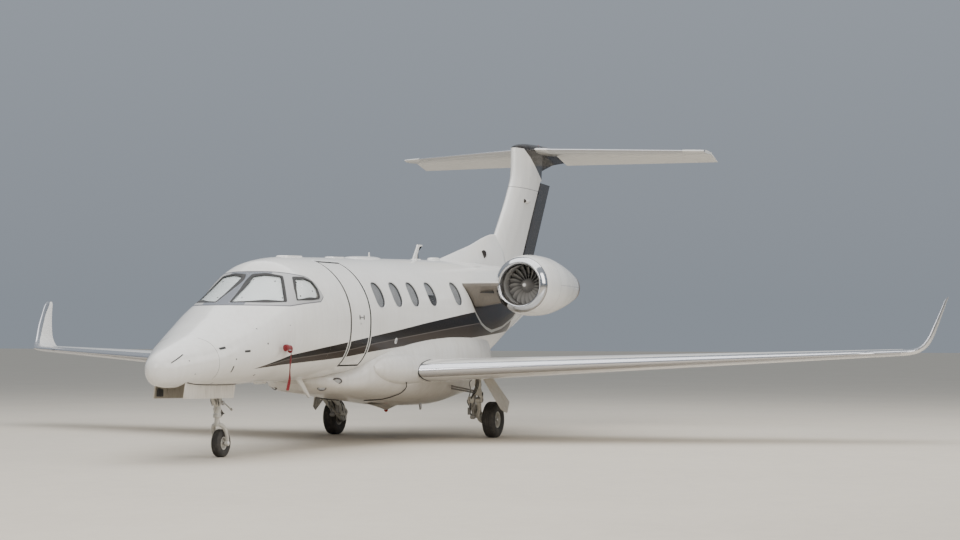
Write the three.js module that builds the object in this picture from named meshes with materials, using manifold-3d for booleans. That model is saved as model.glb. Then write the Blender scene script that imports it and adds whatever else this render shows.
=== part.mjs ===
// Light twin-engine business jet with a T-tail, standing on its landing gear.
// Millimetres. +X runs aft, +Y to starboard, +Z up. The origin is on the ground below the middle
// of the overall length. Stations are distances aft of the nose tip.
import * as THREE from 'three';
import { mergeVertices } from 'three/addons/utils/BufferGeometryUtils.js';
import Module from 'manifold-3d';

const wasm = await Module();
wasm.setup();

// Driving dimensions
const LENGTH = 15640;             // nose tip to elevator horn
const GAP = 0.3;                  // between pieces that touch
const WALL = 90;                  // fuselage wall, skin to cabin lining
const AROUND = 32;                // facets round a fuselage section
const SPLITS = [1300, 3260, 8320, 11200, 13920];   // stations where the fuselage is jointed
const CABIN_FLOOR = 1125;         // height of the floor's upper face
const SIDES = [['port', -1], ['starboard', 1]];

// Fuselage sections: station, crown height, keel height, half width, height of the widest line,
// and the powers that square the upper and the lower half (1 leaves an ellipse)
const FUSELAGE = [
  [0, 1150, 1100, 24, 1125, 1, 1],
  [45, 1235, 1006, 95, 1139, 1, 1],
  [160, 1319, 931, 173, 1129, 1, 1],
  [420, 1416, 904, 302, 1171, 0.98, 1],
  [900, 1582, 907, 506, 1252, 0.96, 0.97],
  [1400, 1788, 908, 647, 1363, 0.93, 0.93],
  [1870, 2009, 916, 739, 1470, 0.88, 0.89],
  [2380, 2264, 934, 790, 1580, 0.9, 0.85],
  [2800, 2538, 932, 827, 1660, 0.95, 0.81],
  [3400, 2610, 946, 860, 1720, 1, 0.78],
  [4200, 2635, 955, 868, 1750, 1, 0.77],
  [8300, 2760, 930, 865, 1795, 1, 0.78],
  [9600, 2795, 1080, 790, 1870, 1, 0.86],
  [11200, 2800, 1520, 600, 2090, 1, 1],
  [12600, 2790, 1990, 370, 2330, 1, 1],
  [13920, 2740, 2460, 130, 2600, 1, 1],
];

// Wing: leading edge station, chord, height of the chord line and thickness ratio at each span
const WING = [
  { y: 900, le: 5800, chord: 2680, z: 1045, ratio: 0.128 },
  { y: 7420, le: 8850, chord: 890, z: 1330, ratio: 0.115 },
];
const HINGE_AT = 0.75;            // control surface hinge line, as a share of the chord
const NOTCH_HALF = 130;           // half the height of the notch that a hinge lug stands in
const COVE_GAP = 13;              // between a control surface's nose and the wing
const JACK = { x: 7000, y: 1900, z: 928, radius: 45 };   // jacking pad under the wing
const FLAP_SPAN = [1000, 4560];
const AILERON_SPAN = [4620, 6960];

// Winglet sections: span, leading edge station, chord, height, thickness, cant of the section
const WINGLET = [
  [7420.5, 8850, 890, 1330, 100, 0],
  [7580, 8960, 780, 1352, 84, 24],
  [7680, 9140, 640, 1420, 66, 52],
  [7760, 9320, 500, 1560, 50, 70],
  [7948, 9905, 210, 2165, 20, 73],
];

// Tail: height, leading edge station and hinge station of the fin
const FIN_SECTIONS = [
  [2560, 11000, 12610, 120],
  [3320, 11640, 13120, 120],
  [4120, 12310, 13655, 125],
  [4430, 12500, 13860, 130],
  [4930, 12530, 13900, 135],
];
const RUDDER_BASE = [2960, 12880, 13590];     // height, hinge station, trailing edge station
const RUDDER_TOP = [4400, 13850, 14560];
const RUDDER_NOSE = 68;           // radius of the rudder's rounded front
const STAB = { z: 4960, rootLe: 13240, tipLe: 14560, tipY: 2965, rootChord: 1180, tipChord: 620 };
const ELEVATOR_SPAN = [175, 2955];
const ELEVATOR_TRAIL = [15060, LENGTH];        // trailing edge stations at the root and the tip
const ELEVATOR_DROOP = 14;        // degrees the elevators hang down when parked

// Engine: lip station, nacelle centre, and the lathe profiles along the axis
const ENGINE = { x: 8340, y: 1640, z: 2360 };
const FAN_RADIUS = 322;
const FAN_STATION = 450;         // distance of the fan behind the lip
const BLADES = 18;

// Landing gear
const MAIN = { x: 8010, y: 1340, radius: 276, width: 205 };
const BRACE_FOOT = 845;           // span at which the main leg's side brace enters the fairing
const NOSE = { x: 1760, radius: 178, width: 122, pivotX: 1655 };

// Cabin openings
const DOOR = { x0: 3810, x1: 4455, z0: 1140, z1: 2500 };
const CABIN_WINDOWS = [4890, 5520, 6150, 6850, 7880];
const STARBOARD_WINDOWS = [4260, 4890, 5520, 6150, 6850, 7880];
const WINDOW = { wide: 310, high: 350, z: 2124, slope: 0.028 };

const aircraft = new THREE.Group();
const st = station => station - LENGTH / 2;

// Shape helpers: turn a geometry into a solid and back, join and cut
function solid(geometry) {
  const plain = geometry.clone();
  plain.deleteAttribute('normal');
  plain.deleteAttribute('uv');
  const merged = mergeVertices(plain, 1e-3);
  return new wasm.Manifold(new wasm.Mesh({
    numProp: 3,
    vertProperties: new Float32Array(merged.attributes.position.array),
    triVerts: new Uint32Array(merged.index.array),
  }));
}

function geometryOf(body) {
  const mesh = body.getMesh();
  const geometry = new THREE.BufferGeometry();
  geometry.setAttribute('position', new THREE.BufferAttribute(new Float32Array(mesh.vertProperties), 3));
  geometry.setIndex(new THREE.BufferAttribute(new Uint32Array(mesh.triVerts), 1));
  geometry.computeVertexNormals();
  return geometry;
}

// A closed skin over rings of equal count, each ring an array of [x, y, z], with flat ends
function loft(rings) {
  const count = rings[0].length;
  const points = rings.flat();
  const last = (rings.length - 1) * count;
  const index = [];
  for (let r = 0; r + 1 < rings.length; r++) {
    for (let k = 0; k < count; k++) {
      const a = r * count + k;
      const b = r * count + (k + 1) % count;
      index.push(a, b, a + count, b, b + count, a + count);
    }
  }
  for (const [ring, start, flip] of [[rings[0], 0, true], [rings.at(-1), last, false]]) {
    const middle = [0, 1, 2].map(i => ring.reduce((sum, p) => sum + p[i], 0) / count);
    points.push(middle);
    const m = points.length - 1;
    for (let k = 0; k < count; k++) {
      const a = start + k;
      const b = start + (k + 1) % count;
      index.push(...(flip ? [m, b, a] : [m, a, b]));
    }
  }
  let volume = 0;
  for (let i = 0; i < index.length; i += 3) {
    const [a, b, c] = [0, 1, 2].map(k => new THREE.Vector3(...points[index[i + k]]));
    volume += a.dot(b.cross(c));
  }
  if (volume < 0) {
    for (let i = 0; i < index.length; i += 3) {
      [index[i + 1], index[i + 2]] = [index[i + 2], index[i + 1]];
    }
  }
  const geometry = new THREE.BufferGeometry();
  geometry.setAttribute('position', new THREE.Float32BufferAttribute(points.flat(), 3));
  geometry.setIndex(index);
  return solid(geometry);
}

function box(x0, x1, y0, y1, z0, z1) {
  const geometry = new THREE.BoxGeometry(x1 - x0, y1 - y0, z1 - z0);
  return solid(geometry.translate((x0 + x1) / 2, (y0 + y1) / 2, (z0 + z1) / 2));
}

// A rod between two points, with its own radius at each end
function rod(from, to, radius, endRadius = radius, sides = 14) {
  const a = new THREE.Vector3(...from);
  const b = new THREE.Vector3(...to);
  const along = b.clone().sub(a);
  const geometry = new THREE.CylinderGeometry(endRadius, radius, along.length(), sides);
  const turn = new THREE.Quaternion();
  turn.setFromUnitVectors(new THREE.Vector3(0, 1, 0), along.clone().normalize());
  geometry.applyQuaternion(turn).translate(...a.add(b).multiplyScalar(0.5).toArray());
  return solid(geometry);
}

// A shape turned about a line through a centre, along X or along Y: profile of [along, radius]
function turned(profile, centre, segments, alongX = true) {
  const outline = profile.map(([along, r]) => new THREE.Vector2(r, along));
  const geometry = new THREE.LatheGeometry(outline, segments);
  geometry.rotateZ(alongX ? -Math.PI / 2 : 0);
  return solid(geometry).translate(centre);
}

// An outline in one plane, given depth: plane 'xz' is extruded along Y from y0 to y1
function plate(outline, y0, y1) {
  const shape = new THREE.Shape(outline.map(([x, z]) => new THREE.Vector2(x, z)));
  const geometry = new THREE.ExtrudeGeometry(shape, { depth: y1 - y0, bevelEnabled: false });
  return solid(geometry.rotateX(Math.PI / 2).translate(0, y1, 0));
}

// A flat bar with round ends lying square to an axis, from the pivot towards `reach`
function lug(pivot, axis, reach, radius, thickness) {
  const a = new THREE.Vector3(...axis).normalize();
  const f = new THREE.Vector3(...reach);
  const length = f.length();
  f.normalize();
  const n = a.clone().cross(f);
  const shape = new THREE.Shape();
  shape.absarc(0, 0, radius, Math.PI / 2, Math.PI * 1.5, false);
  shape.lineTo(length, -radius);
  shape.lineTo(length, radius);
  const options = { depth: thickness, bevelEnabled: false, curveSegments: 4 };
  const geometry = new THREE.ExtrudeGeometry(shape, options);
  geometry.translate(0, 0, -thickness / 2);
  geometry.applyMatrix4(new THREE.Matrix4().makeBasis(f, n, a).setPosition(...pivot));
  return solid(geometry);
}

// The square notch that a lug needs: `deep` behind the pivot and well past the nose in front
function notchBlock(pivot, axis, reach, deep, thickness) {
  const a = new THREE.Vector3(...axis).normalize();
  const f = new THREE.Vector3(...reach);
  const ahead = f.length() + deep;
  f.normalize();
  const geometry = new THREE.BoxGeometry(ahead + deep, 2 * NOTCH_HALF, thickness);
  geometry.translate((ahead - deep) / 2, 0, 0);
  geometry.applyMatrix4(new THREE.Matrix4().makeBasis(f, a.clone().cross(f), a).setPosition(...pivot));
  return solid(geometry);
}

function add(name, body, colour, roughness = 0.35, metalness = 0) {
  const material = new THREE.MeshStandardMaterial({ color: colour, roughness, metalness });
  const mesh = new THREE.Mesh(geometryOf(body), material);
  mesh.name = name;
  aircraft.add(mesh);
}

// A hinge: the fixed piece gets a pierced lug, the moving one a notch with a pin across it
function hinge(fixed, moving, pivot, axis, reach, size) {
  const a = new THREE.Vector3(...axis).normalize();
  const centre = new THREE.Vector3(...pivot);
  const end = offset => a.clone().multiplyScalar(offset).add(centre).toArray();
  const pinRadius = size * 0.45;
  const notch = notchBlock(pivot, axis, reach, size + 13, size + 12);
  const pin = rod(end(-size * 0.5 - 16), end(size * 0.5 + 16), pinRadius, pinRadius, 8);
  const hole = rod(end(-size), end(size), pinRadius + 0.9, pinRadius + 0.9, 8);
  return [
    fixed.add(lug(pivot, axis, reach, size, size)).subtract(hole),
    moving.subtract(notch).add(pin),
  ];
}

// Fuselage: one loft over the table, cut at the joints, hollowed by its own inner loft
const squared = (value, power) => Math.sign(value) * Math.abs(value) ** power;

function bodyRing([station, crown, keel, half, wide, upperPower, lowerPower], inset) {
  return Array.from({ length: AROUND }, (_, k) => {
    const angle = 2 * Math.PI * k / AROUND;
    const upper = k < AROUND / 2;
    const rise = upper ? crown - inset - wide : wide - keel - inset;
    const power = upper ? upperPower : lowerPower;
    return [
      st(station),
      (half - inset) * squared(Math.cos(angle), power),
      wide + rise * squared(Math.sin(angle), power),
    ];
  });
}

function sectionAt(station) {
  const i = Math.max(1, FUSELAGE.findIndex(row => row[0] >= station));
  const [a, b] = [FUSELAGE[i - 1], FUSELAGE[i]];
  const t = (station - a[0]) / (b[0] - a[0]);
  return a.map((value, k) => value + (b[k] - value) * t);
}

// The whole fuselage at one depth below its skin, made once, and a length of it
const depths = new Map();
function fuselageBody(from, to, inset) {
  if (!depths.has(inset)) {
    const rows = FUSELAGE.filter(row => row[3] > inset + 20);
    depths.set(inset, loft(rows.map(row => bodyRing(row, inset))));
  }
  return depths.get(inset).intersect(box(st(from), st(to), -3000, 3000, 0, 4000));
}

const halfWidthAt = (station, z, inset = 0) => {
  const [, crown, keel, half, wide, upperPower, lowerPower] = sectionAt(station);
  const rise = z > wide ? crown - inset - wide : wide - keel - inset;
  const power = z > wide ? upperPower : lowerPower;
  const share = Math.min(1, Math.abs(z - wide) / rise);
  return (half - inset) * (1 - share ** (2 / power)) ** (power / 2);
};

const BAY_HALF = 215;             // half the width of the nose gear bay
const BULKHEAD = 60;              // thickness of the wall behind the cabin
const noseBay = box(st(470), st(1760), -BAY_HALF, BAY_HALF, 600, 1180);
const cabinVoid = fuselageBody(1420, SPLITS[2], WALL)
  .subtract(box(st(1300), st(1960), -900, 900, 700, 1330));
const noseSection = fuselageBody(0, SPLITS[0] - GAP, 0).subtract(noseBay);
let cockpitShell = fuselageBody(SPLITS[0], SPLITS[1] - GAP, 0).subtract(cabinVoid).subtract(noseBay);
let cabinShell = fuselageBody(SPLITS[1], SPLITS[2] - GAP, 0)
  .subtract(fuselageBody(SPLITS[1] - 1, SPLITS[2], WALL));
const aftFuselage = fuselageBody(SPLITS[2], SPLITS[3] - GAP, 0)
  .subtract(fuselageBody(SPLITS[2] + BULKHEAD, SPLITS[3], WALL));
const tailCone = fuselageBody(SPLITS[3], SPLITS[4], 0).subtract(fuselageBody(SPLITS[3] - 1, 13300, WALL));

// Windows: oval cuts through the wall, each side's panes held by one strip of inner lining
function oval(wide, high, cx, cz) {
  return Array.from({ length: 12 }, (_, k) => {
    const angle = 2 * Math.PI * k / 12;
    return [cx + wide / 2 * squared(Math.cos(angle), 0.8), cz + high / 2 * squared(Math.sin(angle), 0.8)];
  });
}

const windowHeight = station => WINDOW.z + (station - CABIN_WINDOWS[0]) * WINDOW.slope;
const across = (side, outline) => plate(outline, side < 0 ? -1200 : 300, side < 0 ? -300 : 1200);

for (const [name, side] of SIDES) {
  const places = side < 0 ? CABIN_WINDOWS : STARBOARD_WINDOWS;
  const depth = fuselageBody(SPLITS[1] + 20, SPLITS[2] - 20, 14)
    .subtract(fuselageBody(SPLITS[1], SPLITS[2], WALL + 5));
  const lining = fuselageBody(places[0] - 260, places.at(-1) + 260, WALL + GAP)
    .subtract(fuselageBody(places[0] - 270, places.at(-1) + 270, WALL + 9))
    .intersect(box(st(3000), st(8400), side < 0 ? -1000 : 100, side < 0 ? -100 : 1000, 1880, 2440));
  let panes = lining;
  for (const x of places) {
    const z = windowHeight(x);
    cabinShell = cabinShell.subtract(across(side, oval(WINDOW.wide, WINDOW.high, st(x), z)));
    const pane = oval(WINDOW.wide - 2 * GAP, WINDOW.high - 2 * GAP, st(x), z);
    panes = panes.add(depth.intersect(across(side, pane)));
  }
  add('cabin_windows_' + name, panes, 0x8a8f92, 0.1);
}

// Cockpit glass: a windscreen pane each side of the centre post, and a side window behind it.
// A windscreen outline is drawn on an upright plane turned 45 degrees: distance along it, height.
const WINDSCREEN = [[1335, 1967], [1580, 2152], [1800, 2337], [1950, 2352], [2142, 2319], [2116, 2153],
  [2084, 1980]];
const SIDE_WINDOW = [      // station, height
  [2493, 2002], [2577, 2156], [2692, 2306], [2904, 2308], [3021, 2261], [3045, 2158], [3018, 2060],
  [2972, 2029], [2724, 2015],
];

// An outline with its corners drawn in towards its middle
function shrink(outline, by) {
  const cx = outline.reduce((sum, p) => sum + p[0], 0) / outline.length;
  const cz = outline.reduce((sum, p) => sum + p[1], 0) / outline.length;
  return outline.map(([x, z]) => {
    const reach = Math.hypot(x - cx, z - cz);
    return [cx + (x - cx) * (1 - by / reach), cz + (z - cz) * (1 - by / reach)];
  });
}

function diagonalCut(side, outline) {
  const [near, far] = [600, 1900];        // depths behind the turned plane through the nose tip
  const shape = new THREE.Shape(outline.map(p => new THREE.Vector2(...p)));
  const geometry = new THREE.ExtrudeGeometry(shape, { depth: far - near, bevelEnabled: false });
  geometry.translate(0, 0, side < 0 ? -far : near);
  const along = new THREE.Vector3(1, side, 0).normalize();
  const up = new THREE.Vector3(0, 0, 1);
  geometry.applyMatrix4(new THREE.Matrix4().makeBasis(along, up, along.clone().cross(up)));
  return solid(geometry.translate(st(0), 0, 0));
}

const sideCut = (side, outline) => across(side, outline.map(([x, z]) => [st(x), z]));
const skinLayer = fuselageBody(SPLITS[0], SPLITS[1], 3).subtract(fuselageBody(SPLITS[0], SPLITS[1], 15));

for (const [name, side] of SIDES) {
  const panes = [
    ['windscreen_' + name, diagonalCut, WINDSCREEN],
    ['cockpit_side_window_' + name, sideCut, SIDE_WINDOW],
  ];
  for (const [pane, cut, outline] of panes) {
    cockpitShell = cockpitShell.subtract(cut(side, outline));
    add(pane, skinLayer.intersect(cut(side, shrink(outline, 0.6))), 0xb9c4c6, 0.1);
  }
}

// Airstair door in the port side: a piece of the wall with wedge steps on its inner face.
// Hinged just inside the skin at its foot, it swings out and down until the treads lie level.
const DOOR_EDGE = 6;
const OPEN_SLOPE = THREE.MathUtils.degToRad(35);   // of the open stair below level
const STEP_FEET = [1250, 1520, 1790, 2060];
const STEP_PITCH = 262;
const doorSpan = [st(DOOR.x0), st(DOOR.x1)];
const prism = (outline, [x0, x1]) => loft([outline.map(p => [x0, ...p]), outline.map(p => [x1, ...p])]);
const doorWall = fuselageBody(SPLITS[1], 5000, 0).subtract(fuselageBody(SPLITS[1] - 1, 5001, WALL));
let door = doorWall.intersect(box(doorSpan[0] + DOOR_EDGE, doorSpan[1] - DOOR_EDGE, -1200, -300,
  DOOR.z0 + DOOR_EDGE, DOOR.z1 - DOOR_EDGE));
const topBevel = [[-490, DOOR.z1 - DOOR_EDGE], [-290, DOOR.z1 - 56], [-290, 2600], [-490, 2600]];
door = door.subtract(prism(topBevel, doorSpan));
for (const z of STEP_FEET) {
  const lining = at => -halfWidthAt(4100, at, WALL);
  const treadDepth = STEP_PITCH * Math.cos(OPEN_SLOPE);
  const nosing = [lining(z) + treadDepth * Math.sin(OPEN_SLOPE), z + treadDepth * Math.cos(OPEN_SLOPE)];
  const top = z + STEP_PITCH;
  const step = [[lining(z) - 40, z], [lining(z), z], nosing, [lining(top), top], [lining(top) - 40, top]];
  door = door.add(prism(step, [doorSpan[0] + 70, doorSpan[1] - 70]));
}
door = door.intersect(fuselageBody(SPLITS[1], 5000, 0));
cabinShell = cabinShell.subtract(box(...doorSpan, -1200, -300, DOOR.z0, DOOR.z1));
const doorHinge = { y: -halfWidthAt(4100, DOOR.z0 + 20) + 11, z: DOOR.z0 + 20 };
const SILL_REBATE = 10;           // step in the sill's outer edge, where the open door's foot turns
cabinShell = cabinShell.subtract(box(...doorSpan, -1200, doorHinge.y + 16, DOOR.z0 - SILL_REBATE, DOOR.z0 + 1));
for (const x of [DOOR.x0 + 130, DOOR.x1 - 130]) {
  const pivot = [st(x), doorHinge.y, doorHinge.z];
  [cabinShell, door] = hinge(cabinShell, door, pivot, [1, 0, 0], [0, 60, -36], 11);
}

// Interior seen through the open door: floor, and pairs of seats on their rails
const inner = fuselageBody(1970, SPLITS[2] - 5, WALL + GAP);
const floorBox = box(st(1975), st(SPLITS[2] - 6), -900, 900, CABIN_FLOOR - 60, CABIN_FLOOR);

function seatPair(x, facing) {
  const at = (a, b) => facing > 0 ? [st(x + a), st(x + b)] : [st(x - b), st(x - a)];
  let pair = box(...at(0, 480), -430, 430, CABIN_FLOOR + GAP, CABIN_FLOOR + 30);
  for (const side of [-1, 1]) {
    const y = span => [Math.min(...span.map(v => side * v)), Math.max(...span.map(v => side * v))];
    pair = pair.add(box(...at(60, 420), ...y([230, 425]), CABIN_FLOOR + 20, CABIN_FLOOR + 250));
    pair = pair.add(box(...at(0, 500), ...y([140, 580]), CABIN_FLOOR + 240, CABIN_FLOOR + 400));
    pair = pair.add(box(...at(-40, 90), ...y([140, 580]), CABIN_FLOOR + 390, CABIN_FLOOR + 960));
    pair = pair.add(box(...at(60, 420), ...y([130, 190]), CABIN_FLOOR + 390, CABIN_FLOOR + 540));
  }
  return pair;
}

add('nose_section', noseSection, 0xe9e6df);
add('cockpit_shell', cockpitShell, 0xe9e6df);
add('cabin_shell', cabinShell, 0xe9e6df);
add('aft_fuselage', aftFuselage, 0xe9e6df);
const VENTRAL = [[11750, 1745], [12500, 1740], [13320, 2030], [13360, 2300]];       // station, z
const ventralFin = plate(VENTRAL.map(([station, z]) => [st(station), z]), -12, 12);
add('tail_cone', tailCone.add(ventralFin), 0xe9e6df);
add('airstair_door', door, 0xe9e6df);
add('cabin_floor', inner.intersect(floorBox), 0x77706a, 0.9);
add('pilot_seats', seatPair(3040, -1), 0x5b5650, 0.8);
add('club_seats_forward', seatPair(4900, 1), 0xb9a88c, 0.6);
add('club_seats_aft', seatPair(6900, -1), 0xb9a88c, 0.6);

// Wing sections: a symmetrical four-digit thickness form, closed by a thin trailing edge
const wingAt = y => {
  const [a, b] = WING;
  const t = (y - a.y) / (b.y - a.y);
  const mix = key => a[key] + (b[key] - a[key]) * t;
  return { y, le: mix('le'), chord: mix('chord'), z: mix('z'), ratio: mix('ratio') };
};
const halfThickness = (s, ratio) => 5 * ratio
  * (0.2969 * Math.sqrt(s) - 0.126 * s - 0.3516 * s ** 2 + 0.2843 * s ** 3 - 0.1015 * s ** 4);
const CHORD_STEPS = [1, 0.75, 0.5, 0.3, 0.16, 0.07, 0.02, 0];

function wingRing(section, side, grow = 0) {
  const upper = CHORD_STEPS.map(s => [s, halfThickness(s, section.ratio)]);
  const lower = CHORD_STEPS.slice(0, -1).reverse().map(s => [s, -halfThickness(s, section.ratio)]);
  return [...upper, ...lower].map(([s, h]) => [
    st(section.le) + s * section.chord + (s > 0.5 ? grow : -grow),
    side * section.y,
    section.z + h * section.chord + Math.sign(h) * grow,
  ]);
}

// The hinge line of a control surface: its place and the nose radius at a span
const hingeAt = y => {
  const section = wingAt(y);
  const radius = halfThickness(HINGE_AT, section.ratio) * section.chord;
  return { x: st(section.le) + HINGE_AT * section.chord, z: section.z, radius, section };
};

function surfaceRing(y, side) {
  const { x, z, radius, section } = hingeAt(y);
  const nose = Array.from({ length: 7 }, (_, k) => {
    const angle = Math.PI / 2 + Math.PI * k / 6;
    return [x + radius * Math.cos(angle), side * y, z + radius * Math.sin(angle)];
  });
  const trail = st(section.le) + section.chord;
  return [...nose, [trail, side * y, z - 3], [trail, side * y, z + 3]];
}

function coveRing(y, side) {
  const { x, z, radius } = hingeAt(y);
  const front = x - radius - COVE_GAP;
  return [[front, side * y, z - 400], [front + 1500, side * y, z - 400],
    [front + 1500, side * y, z + 400], [front, side * y, z + 400]];
}

const END_GAP = 22;               // beyond the aileron's outer end
for (const [name, side] of SIDES) {
  let wing = loft([wingRing(wingAt(WING[0].y), side), wingRing(wingAt(WING[1].y), side)]);
  const surfaces = [['flap_', FLAP_SPAN, [1500, 4150]], ['aileron_', AILERON_SPAN, [4950, 6600]]];
  const cove = loft([coveRing(FLAP_SPAN[0] - 400, side), coveRing(AILERON_SPAN[1] + END_GAP, side)]);
  wing = wing.subtract(cove);
  for (const [surfaceName, [y0, y1], hingeSpans] of surfaces) {
    let surface = loft([surfaceRing(y0, side), surfaceRing(y1, side)]);
    const [from, to] = [hingeAt(y0), hingeAt(y1)];
    const axis = [to.x - from.x, side * (y1 - y0), to.z - from.z];
    for (const y of hingeSpans) {
      const { x, z, radius } = hingeAt(y);
      const forward = radius + COVE_GAP + 25;
      const reach = [-forward, side * axis[0] / Math.abs(axis[1]) * forward, 0];
      [wing, surface] = hinge(wing, surface, [x, side * y, z], axis, reach, Math.min(14, radius * 0.5));
    }
    add(surfaceName + name, surface, 0xe9e6df);
  }
  const legPocket = box(st(7400), st(7640), side < 0 ? -1440 : 1180, side < 0 ? -1180 : 1440, 600, 1010);
  const jackPad = rod([st(JACK.x), side * JACK.y, JACK.z], [st(JACK.x), side * JACK.y, 1050], JACK.radius);
  add('wing_' + name, wing.subtract(legPocket).add(jackPad), 0xe9e6df);

  const winglet = loft(WINGLET.map(([y, le, chord, z, thick, cant]) => {
    const lean = THREE.MathUtils.degToRad(cant);
    return wingRing({ y: 0, le, chord, z: 0, ratio: thick / chord }, 1)
      .map(([px, , h]) => [px, side * (y - h * Math.sin(lean)), z + h * Math.cos(lean)]);
  }));
  add('winglet_' + name, winglet, 0xe9e6df);
}

// Wing to body fairing: station, half width, lower face, upper face
const FAIRING = [
  [3750, 220, 890, 1000],
  [3900, 420, 812, 1040],
  [4200, 590, 760, 1090],
  [4480, 700, 732, 1150],
  [4700, 780, 714, 1300],
  [5300, 880, 655, 1520],
  [6200, 930, 575, 1680],
  [7000, 945, 505, 1760],
  [7600, 945, 495, 1790],
  [8300, 930, 560, 1790],
  [9200, 830, 680, 1740],
  [9900, 560, 1010, 1500],
];
// The round glove ahead of each wing root: station, middle span, half width, middle height, half height
const GLOVE = [
  [4750, 780, 30, 1090, 40],
  [4900, 785, 100, 1088, 130],
  [5200, 800, 155, 1085, 195],
  [5650, 815, 180, 1080, 225],
  [6200, 820, 180, 1078, 222],
  [6700, 820, 140, 1075, 180],
  [7200, 810, 40, 1075, 60],
];
const gloveRing = ([station, y, half, z, high], side) => Array.from({ length: 16 }, (_, k) => {
  const angle = 2 * Math.PI * k / 16;
  return [st(station), side * y + half * Math.cos(angle), z + high * Math.sin(angle)];
});
const fairingRing = ([station, half, low, high], grow = 0) => Array.from({ length: 24 }, (_, k) => {
  const angle = 2 * Math.PI * k / 24;
  const squash = value => Math.sign(value) * Math.abs(value) ** 0.72;
  return [st(station), (half + grow) * squash(Math.cos(angle)),
    (low + high) / 2 + ((high - low) / 2 + grow) * squash(Math.sin(angle))];
});
const wingBlank = side => loft([
  wingRing({ ...wingAt(WING[0].y), y: WING[0].y - 0.5 }, side, 0.5), wingRing(wingAt(WING[1].y), side, 0.5)]);
const fairingBlank = loft(FAIRING.map(row => fairingRing(row, 0.4)));
let fairing = loft(FAIRING.map(row => fairingRing(row)));
for (const [, side] of SIDES) {
  fairing = fairing.add(loft(GLOVE.map(row => gloveRing(row, side)))).subtract(wingBlank(side));
}
fairing = fairing.subtract(fuselageBody(3600, 10300, -0.5));
add('belly_fairing', fairing, 0xdad6cd);

// Fin with its dorsal fillet, and the rudder behind it
function finRing([z, le, hingeStation, half]) {
  const length = hingeStation - le;
  const outline = [[1, 0.62], [0.75, 0.85], [0.45, 1], [0.2, 0.86], [0.06, 0.5], [0, 0]];
  const port = outline.map(([s, w]) => [st(le) + s * length, half * w, z]);
  const starboard = outline.slice(0, -1).reverse().map(([s, w]) => [st(le) + s * length, -half * w, z]);
  return [...port, ...starboard];
}

const DORSAL = [[9000, 90, 2790], [10300, 150, 3060], [11640, 150, 3330], [11900, 90, 3330]];
const dorsal = loft(DORSAL.map(([station, half, top]) => [
  [-half, 2600], [half, 2600], [half * 0.5, top - 40], [20, top], [-20, top], [-half * 0.5, top - 40],
].map(p => [st(station), ...p])));
const finFoot = fuselageBody(8500, SPLITS[4], -0.5);
let fin = loft(FIN_SECTIONS.map(finRing)).add(dorsal).subtract(finFoot);

function rudderRing([z, hingeStation, trail]) {
  const nose = Array.from({ length: 7 }, (_, k) => {
    const angle = Math.PI / 2 + Math.PI * k / 6;
    return [st(hingeStation) + RUDDER_NOSE * Math.cos(angle), RUDDER_NOSE * Math.sin(angle), z];
  });
  return [...nose, [st(trail), -3, z], [st(trail), 3, z]];
}

const rudderAxis = [RUDDER_TOP[1] - RUDDER_BASE[1], 0, RUDDER_TOP[0] - RUDDER_BASE[0]];
const COVE_ENDS = [[RUDDER_BASE[0] - 40, RUDDER_BASE[1] - 27], [RUDDER_TOP[0] + 30, RUDDER_TOP[1] + 20]];
const rudderCove = loft(COVE_ENDS.map(([z, x]) => {
  const front = st(x) - RUDDER_NOSE - 20;
  return [[front, -300, z], [front + 900, -300, z], [front + 900, 300, z], [front, 300, z]];
}));
fin = fin.subtract(rudderCove);
let rudder = loft([rudderRing(RUDDER_BASE), rudderRing(RUDDER_TOP)]);
for (const share of [0.15, 0.85]) {
  const pivot = [st(RUDDER_BASE[1]) + rudderAxis[0] * share, 0, RUDDER_BASE[0] + rudderAxis[2] * share];
  const reach = [-rudderAxis[2] * 0.1, 0, rudderAxis[0] * 0.1];
  [fin, rudder] = hinge(fin, rudder, pivot, rudderAxis, reach, 16);
}
add('rudder', rudder, 0x2b2725);

// Tailplane: stabilizer, one pair of elevators on a shaft, and the fairing on top of the fin
const stabAt = y => {
  const t = y / STAB.tipY;
  return {
    y,
    le: STAB.rootLe + (STAB.tipLe - STAB.rootLe) * t,
    chord: STAB.rootChord + (STAB.tipChord - STAB.rootChord) * t,
    z: STAB.z,
    ratio: 0.1,
  };
};
const stabHinge = y => {
  const section = stabAt(y);
  return { x: st(section.le + section.chord), radius: 30 - 12 * y / STAB.tipY };
};
const stabRing = (y, side) => {
  const section = stabAt(y);
  const { radius } = stabHinge(y);
  const outline = [[1, 0], [1, 1], [0.6, 1.5], [0.35, 1.7], [0.14, 1.25], [0.03, 0.6], [0, 0]];
  const upper = outline.slice(1).map(([s, h]) => [s, h * radius]);
  const lower = outline.slice(1, -1).reverse().map(([s, h]) => [s, -h * radius]);
  const length = section.chord - radius - 12;
  return [...upper, ...lower].map(([s, h]) => [st(section.le) + s * length, side * y, STAB.z + h]);
};
const stabBox = loft([stabRing(STAB.tipY, -1), stabRing(1, -1), stabRing(1, 1), stabRing(STAB.tipY, 1)]);
const hingeRoot = stabHinge(0);
const hingeTip = stabHinge(STAB.tipY);

function elevatorRing(y, side, trail) {
  const { x, radius } = stabHinge(y);
  const droop = THREE.MathUtils.degToRad(ELEVATOR_DROOP);
  const length = st(trail) - x;
  const nose = Array.from({ length: 7 }, (_, k) => {
    const angle = Math.PI / 2 + Math.PI * k / 6;
    return [x + radius * Math.cos(angle), side * y, STAB.z + radius * Math.sin(angle)];
  });
  const drop = Math.tan(droop) * length;
  return [...nose, [st(trail), side * y, STAB.z - drop - 3], [st(trail), side * y, STAB.z - drop + 3]];
}

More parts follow.
